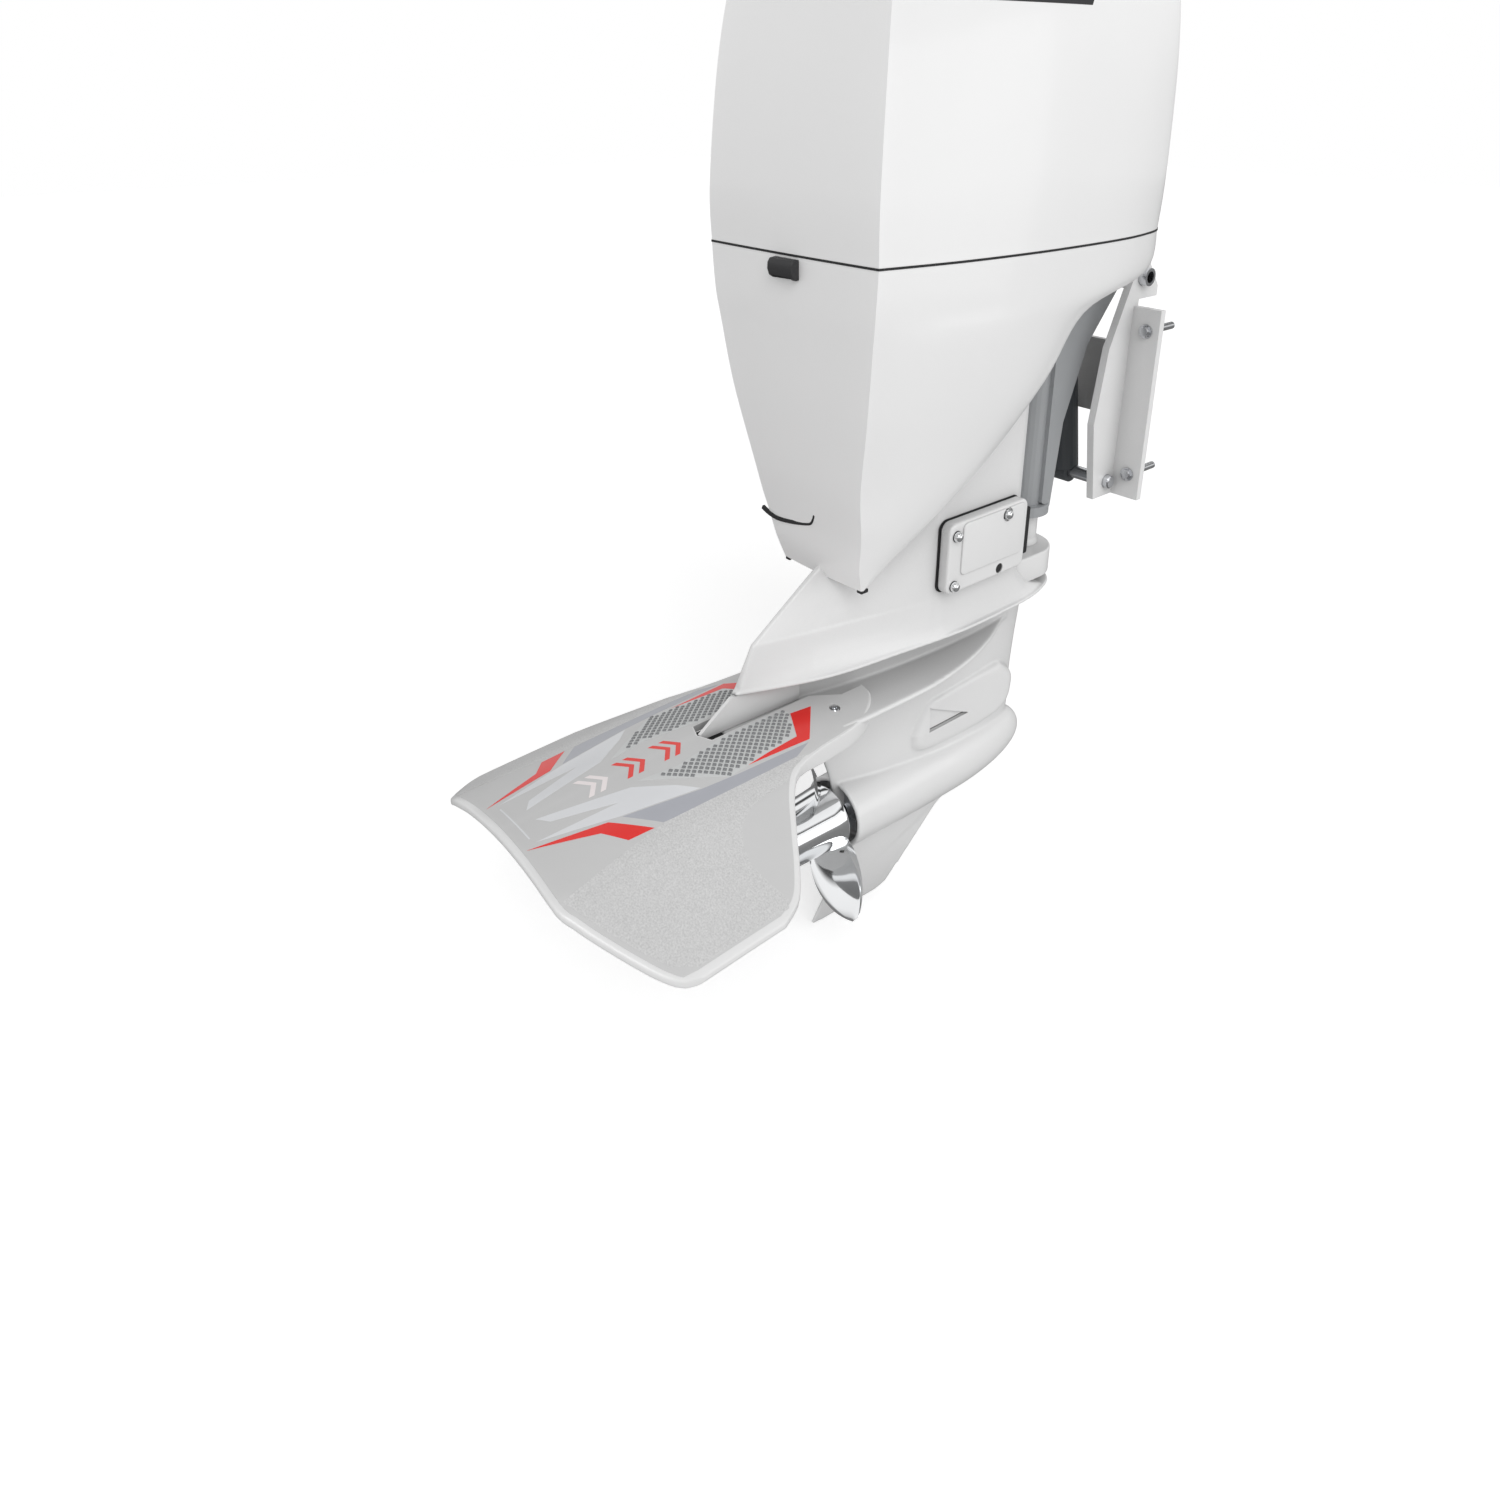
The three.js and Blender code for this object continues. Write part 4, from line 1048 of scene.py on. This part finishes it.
def build_transom_bolts():
    """Hex bolts through the bracket flanges, with washers."""
    for level in ("upper", "lower"):
        for name in ("starboard", "port"):
            node = f"transom_bolt_{level}_{name}"
            low, high = leg_box(node)
            at = ((low.x + high.x) / 2, 0, (low.z + high.z) / 2)
            seat = low.y + HEAD_TALL
            ring = [(6.4, seat + WASHER_TALL), (WASHER_R, seat + WASHER_TALL), (WASHER_R, seat),
                    (6.4, seat), (6.4, seat + WASHER_TALL)]
            washer = turned("washer", ring, "y", at, 40)
            hexagon = [(7.0, low.y), (HEAD_R, low.y + 1.2), (HEAD_R, seat), (0.1, seat)]
            head = turned("head", hexagon, "y", at, 6)
            rod = [(SHANK_R, low.y + 1.0), (SHANK_R, high.y - 1.2), (SHANK_R - 1, high.y)]
            shank = turned("shank", rod, "y", at, 32)
            bolt = join(f"{node}_hex", [washer, head, shank])
            smooth_shade(bolt, 30)
            place(bolt, "transom_bracket", "shaft_steel", node)


def strip_on_face(name, points, half, deep):
    """A thin strip along (x, z) points, lying on the chin's rear face."""
    line = spline(points, 8)
    verts, faces = [], []
    for i, (x, z) in enumerate(line):
        ahead, behind = line[min(i + 1, len(line) - 1)], line[max(i - 1, 0)]
        normal = Vector((behind[1] - ahead[1], ahead[0] - behind[0])).normalized() * half
        for dy in (-deep, deep):
            for side in (-1, 1):
                y = chin_rear(z) - GROOVE_PROUD + dy
                verts.append(leg_point(x + side * normal.x, y, z + side * normal.y))
    for i in range(len(line) - 1):
        a, b = 4 * i, 4 * i + 4
        faces += [(a, a + 1, b + 1, b), (a + 2, b + 2, b + 3, a + 3), (a, b, b + 2, a + 2),
                  (a + 1, a + 3, b + 3, b + 1)]
    last = 4 * (len(line) - 1)
    faces += [(0, 2, 3, 1), (last, last + 1, last + 3, last + 2)]
    return new_object(name, verts, faces)


def chin_rear(z):
    """How far aft the chin's rear face lies at a given height."""
    for (z0, y0, *_), (z1, y1, *_) in zip(CHIN, CHIN[1:]):
        if z <= z1:
            return y0 + (y1 - y0) * (z - z0) / (z1 - z0)
    return CHIN[-1][1]


GROOVE = [(-104, 246), (-90, 240), (-70, 238), (-38, 243), (-8, 251), (2, 257), (9, 270)]
GROOVE_PROUD = 1.2  # how far behind the face the strip's middle lies
CHIN_CORNER = ((68, 60.5), (77.5, 60.5), (77.5, 74), (71, 70))


def build_chin_details():
    groove = strip_on_face("chin_grip_groove", GROOVE, 3.0, 1.8)
    place(groove, "motor", "black_rubber")
    for name, sign in SIDES:
        rings = [[(sign * x, y, z) for x, y in CHIN_CORNER] for z in (167, 173)]
        seal = skin(f"chin_seal_{name}", rings)
        bevel(seal, 1.0, 2)
        apply_modifiers(seal)
        place(seal, "motor", "black_rubber")


# ---- propeller ----
PROP_R = 150.0
PITCH = 400.0
BLADE_ROOT = 40.0
BLADE_Y = 50.0
BLADE_ANGLE = math.radians(136)
BLADES = 3
RAKE = 24.0
SKEW = math.radians(12)
BLADE_STEPS = 28
SECTION_STEPS = 16
HUB = [(46, 88), (49, 86), (50, 82), (48.5, 65), (47, 40), (45, 0), (45, -30), (47, -45), (50, -56),
       (48.5, -57), (46, -55), (41, -30), (41, 60), (42, 84), (46, 88)]
CORE = [(14.2, 80), (22, 80), (22, -20), (14.2, -20), (14.2, 80)]


def blade_ring(t, angle):
    """A blade's section at a share t of the way from its root to its tip. It turns left-handed."""
    r = BLADE_ROOT + (PROP_R - BLADE_ROOT) * t
    chord = (50 + 30 * math.sin(math.pi * min(1.0, t * 0.92 + 0.1)) ** 0.8) * (1 - 0.7 * t ** 7)
    thick = 6.5 - 4.3 * t
    pitch_angle = math.atan2(PITCH, 2 * math.pi * r)
    steps = SECTION_STEPS
    ring = []
    for k in range(2 * steps):
        s = k / steps if k <= steps else (2 * steps - k) / steps
        side = 1 if k <= steps else -1
        bulge = 0.4 if k in (0, steps) else max(0.4, thick / 2 * math.sin(math.pi * s) ** 0.6)
        u, v = (s - 0.36) * chord, side * bulge
        around = u * math.cos(pitch_angle) - v * math.sin(pitch_angle)
        forward = u * math.sin(pitch_angle) + v * math.cos(pitch_angle) - RAKE * t
        a = angle - around / r - SKEW * t * t
        ring.append((r * math.sin(a), BLADE_Y + forward, PROP_Z + r * math.cos(a)))
    return ring


def build_propeller():
    """A hub with an exhaust passage: webs hold its core, and the blades stand on its outside."""
    shells = [turned("hub", HUB, "y", (0, 0, PROP_Z), 72), turned("core", CORE, "y", (0, 0, PROP_Z), 48)]
    centre = leg_point(0, 0, PROP_Z)
    for i in range(BLADES):
        step = math.radians(360 / BLADES * i)
        rings = [blade_ring(k / BLADE_STEPS, BLADE_ANGLE + step) for k in range(BLADE_STEPS + 1)]
        shells.append(skin(f"blade_{i}", rings))
        turn = Matrix.Rotation(step, 4, "Y")
        web = block(f"web_{i}", (-3, -15, PROP_Z + 18), (3, 75, PROP_Z + 43))
        web.data.transform(Matrix.Translation(centre) @ turn @ Matrix.Translation(-centre))
        shells.append(web)
    propeller = join("polished_propeller", shells)
    smooth_shade(propeller, 35)
    place(propeller, "prop_drive", "stainless", "propeller")


# ---- stage ----
def mixed(tree, factor, first, second):
    """The first value where the factor is 0 and the second where it is 1."""
    mix = tree.nodes.new("ShaderNodeMix")
    mix.data_type = "RGBA"
    tree.links.new(factor, mix.inputs["Factor"])
    for socket, value in ((mix.inputs[6], first), (mix.inputs[7], second)):
        if isinstance(value, (int, float)):
            socket.default_value = (*grey(value), 1.0)
        else:
            tree.links.new(value, socket)
    return mix.outputs[2]


FLOOR_SIZE = 14.0
FLOOR_SEEN, FLOOR_BOUNCE, FLOOR_MIRRORED = 0.95, 0.75, 0.25
FLOOR_GLOW = 0.3  # lifts the floor to the backdrop's white, for the camera only


def build_floor():
    """A plain white floor. Polished parts see it darker, which gives them contrast."""
    low = CAD_BOX[0][2] - 0.01
    corners = [(x * FLOOR_SIZE, y * FLOOR_SIZE, low) for x, y in ((-1, -1), (1, -1), (1, 1), (-1, 1))]
    floor = new_object("floor", corners, [(0, 1, 2, 3)])
    paint = bpy.data.materials.new("floor_paint")
    paint.use_nodes = True
    tree = paint.node_tree
    shader = tree.nodes["Principled BSDF"]
    shader.inputs["Roughness"].default_value = 0.9
    shader.inputs["Specular IOR Level"].default_value = 0.1
    path = tree.nodes.new("ShaderNodeLightPath").outputs
    color = mixed(tree, path["Is Camera Ray"], FLOOR_BOUNCE, FLOOR_SEEN)
    color = mixed(tree, path["Is Glossy Ray"], color, FLOOR_MIRRORED)
    tree.links.new(color, shader.inputs["Base Color"])
    glow = mixed(tree, path["Is Camera Ray"], 0.0, 1.0)
    tree.links.new(glow, shader.inputs["Emission Color"])
    shader.inputs["Emission Strength"].default_value = FLOOR_GLOW
    floor.data.materials.append(paint)


HORIZON_LEVEL, ZENITH_LEVEL = 0.9, 0.5
# What metal mirrors, from the horizon up: (place on the ramp, brightness).
STUDIO_BANDS = [(0.50, 0.55), (0.57, 0.95), (0.66, 1.0), (0.70, 0.10), (0.76, 0.05), (0.80, 1.0),
                (0.93, 0.9), (0.96, 0.15)]


def build_world():
    """A white studio, brighter to the sides. Dark bands in what metal mirrors give it contrast."""
    world = bpy.data.worlds.new("studio")
    bpy.context.scene.world = world
    world.use_nodes = True
    tree = world.node_tree
    coords = tree.nodes.new("ShaderNodeTexCoord").outputs["Generated"]
    split = tree.nodes.new("ShaderNodeSeparateXYZ")
    tree.links.new(coords, split.inputs["Vector"])
    ramp = tree.nodes.new("ShaderNodeValToRGB")
    tree.links.new(span(tree, split.outputs["Z"], 0.5, 1.0), ramp.inputs["Fac"])
    elements = ramp.color_ramp.elements
    while len(elements) < len(STUDIO_BANDS):
        elements.new(1.0)
    for element, (position, level) in zip(elements, STUDIO_BANDS):
        element.position = position
        element.color = (*grey(level), 1.0)
    path = tree.nodes.new("ShaderNodeLightPath").outputs
    sky = span(tree, split.outputs["Z"], HORIZON_LEVEL, ZENITH_LEVEL)
    seen = mixed(tree, path["Is Camera Ray"], sky, 1.0)
    studio = mixed(tree, path["Is Glossy Ray"], seen, ramp.outputs["Color"])
    tree.links.new(studio, tree.nodes["Background"].inputs["Color"])
    bpy.context.scene.view_settings.view_transform = "Standard"


def add_lamp(name, light, location, direction):
    lamp = bpy.data.objects.new(name, light)
    lamp.location = location
    lamp.rotation_euler = direction.to_track_quat("-Z", "Y").to_euler()
    bpy.context.scene.collection.objects.link(lamp)


def build_lights():
    """A broad key from astern on the starboard side, and a weak fill from the bow."""
    sun = bpy.data.lights.new("key", "SUN")
    sun.energy = 0.9
    sun.angle = math.radians(35)
    add_lamp("key", sun, (0, 0, 0), Vector((-1.2, 0.7, -1.2)))
    fill = bpy.data.lights.new("fill", "AREA")
    fill.size = 1.8
    fill.energy = 10
    offset = Vector((2.6, 1.4, 0.5))
    add_lamp("fill", fill, LEG + Vector((0, 0.1, 0)) + offset, -offset)


def build_camera():
    """The viewing angle: from astern on the starboard side, looking down a little."""
    heading, pitch = math.radians(50.3), math.radians(21.2)
    camera = bpy.data.cameras.new("camera")
    camera.sensor_width = 36.0
    camera.lens = 26.4
    camera.shift_y = -1.0 / 6.0
    eye = bpy.data.objects.new("camera", camera)
    eye.location = leg_point(1013, -912, 825)
    level = math.cos(pitch)
    look = Vector((-level * math.sin(heading), level * math.cos(heading), -math.sin(pitch)))
    eye.rotation_euler = look.to_track_quat("-Z", "Y").to_euler()
    bpy.context.scene.collection.objects.link(eye)
    bpy.context.scene.camera = eye


dress_nodes()
build_foil()
build_gearcase()
build_midsection()
build_cowls()
build_cowl_details()
build_chin_details()
build_mount_covers()
build_yoke()
build_bars()
build_transom_bolts()
build_propeller()
build_floor()
build_world()
build_lights()
build_camera()
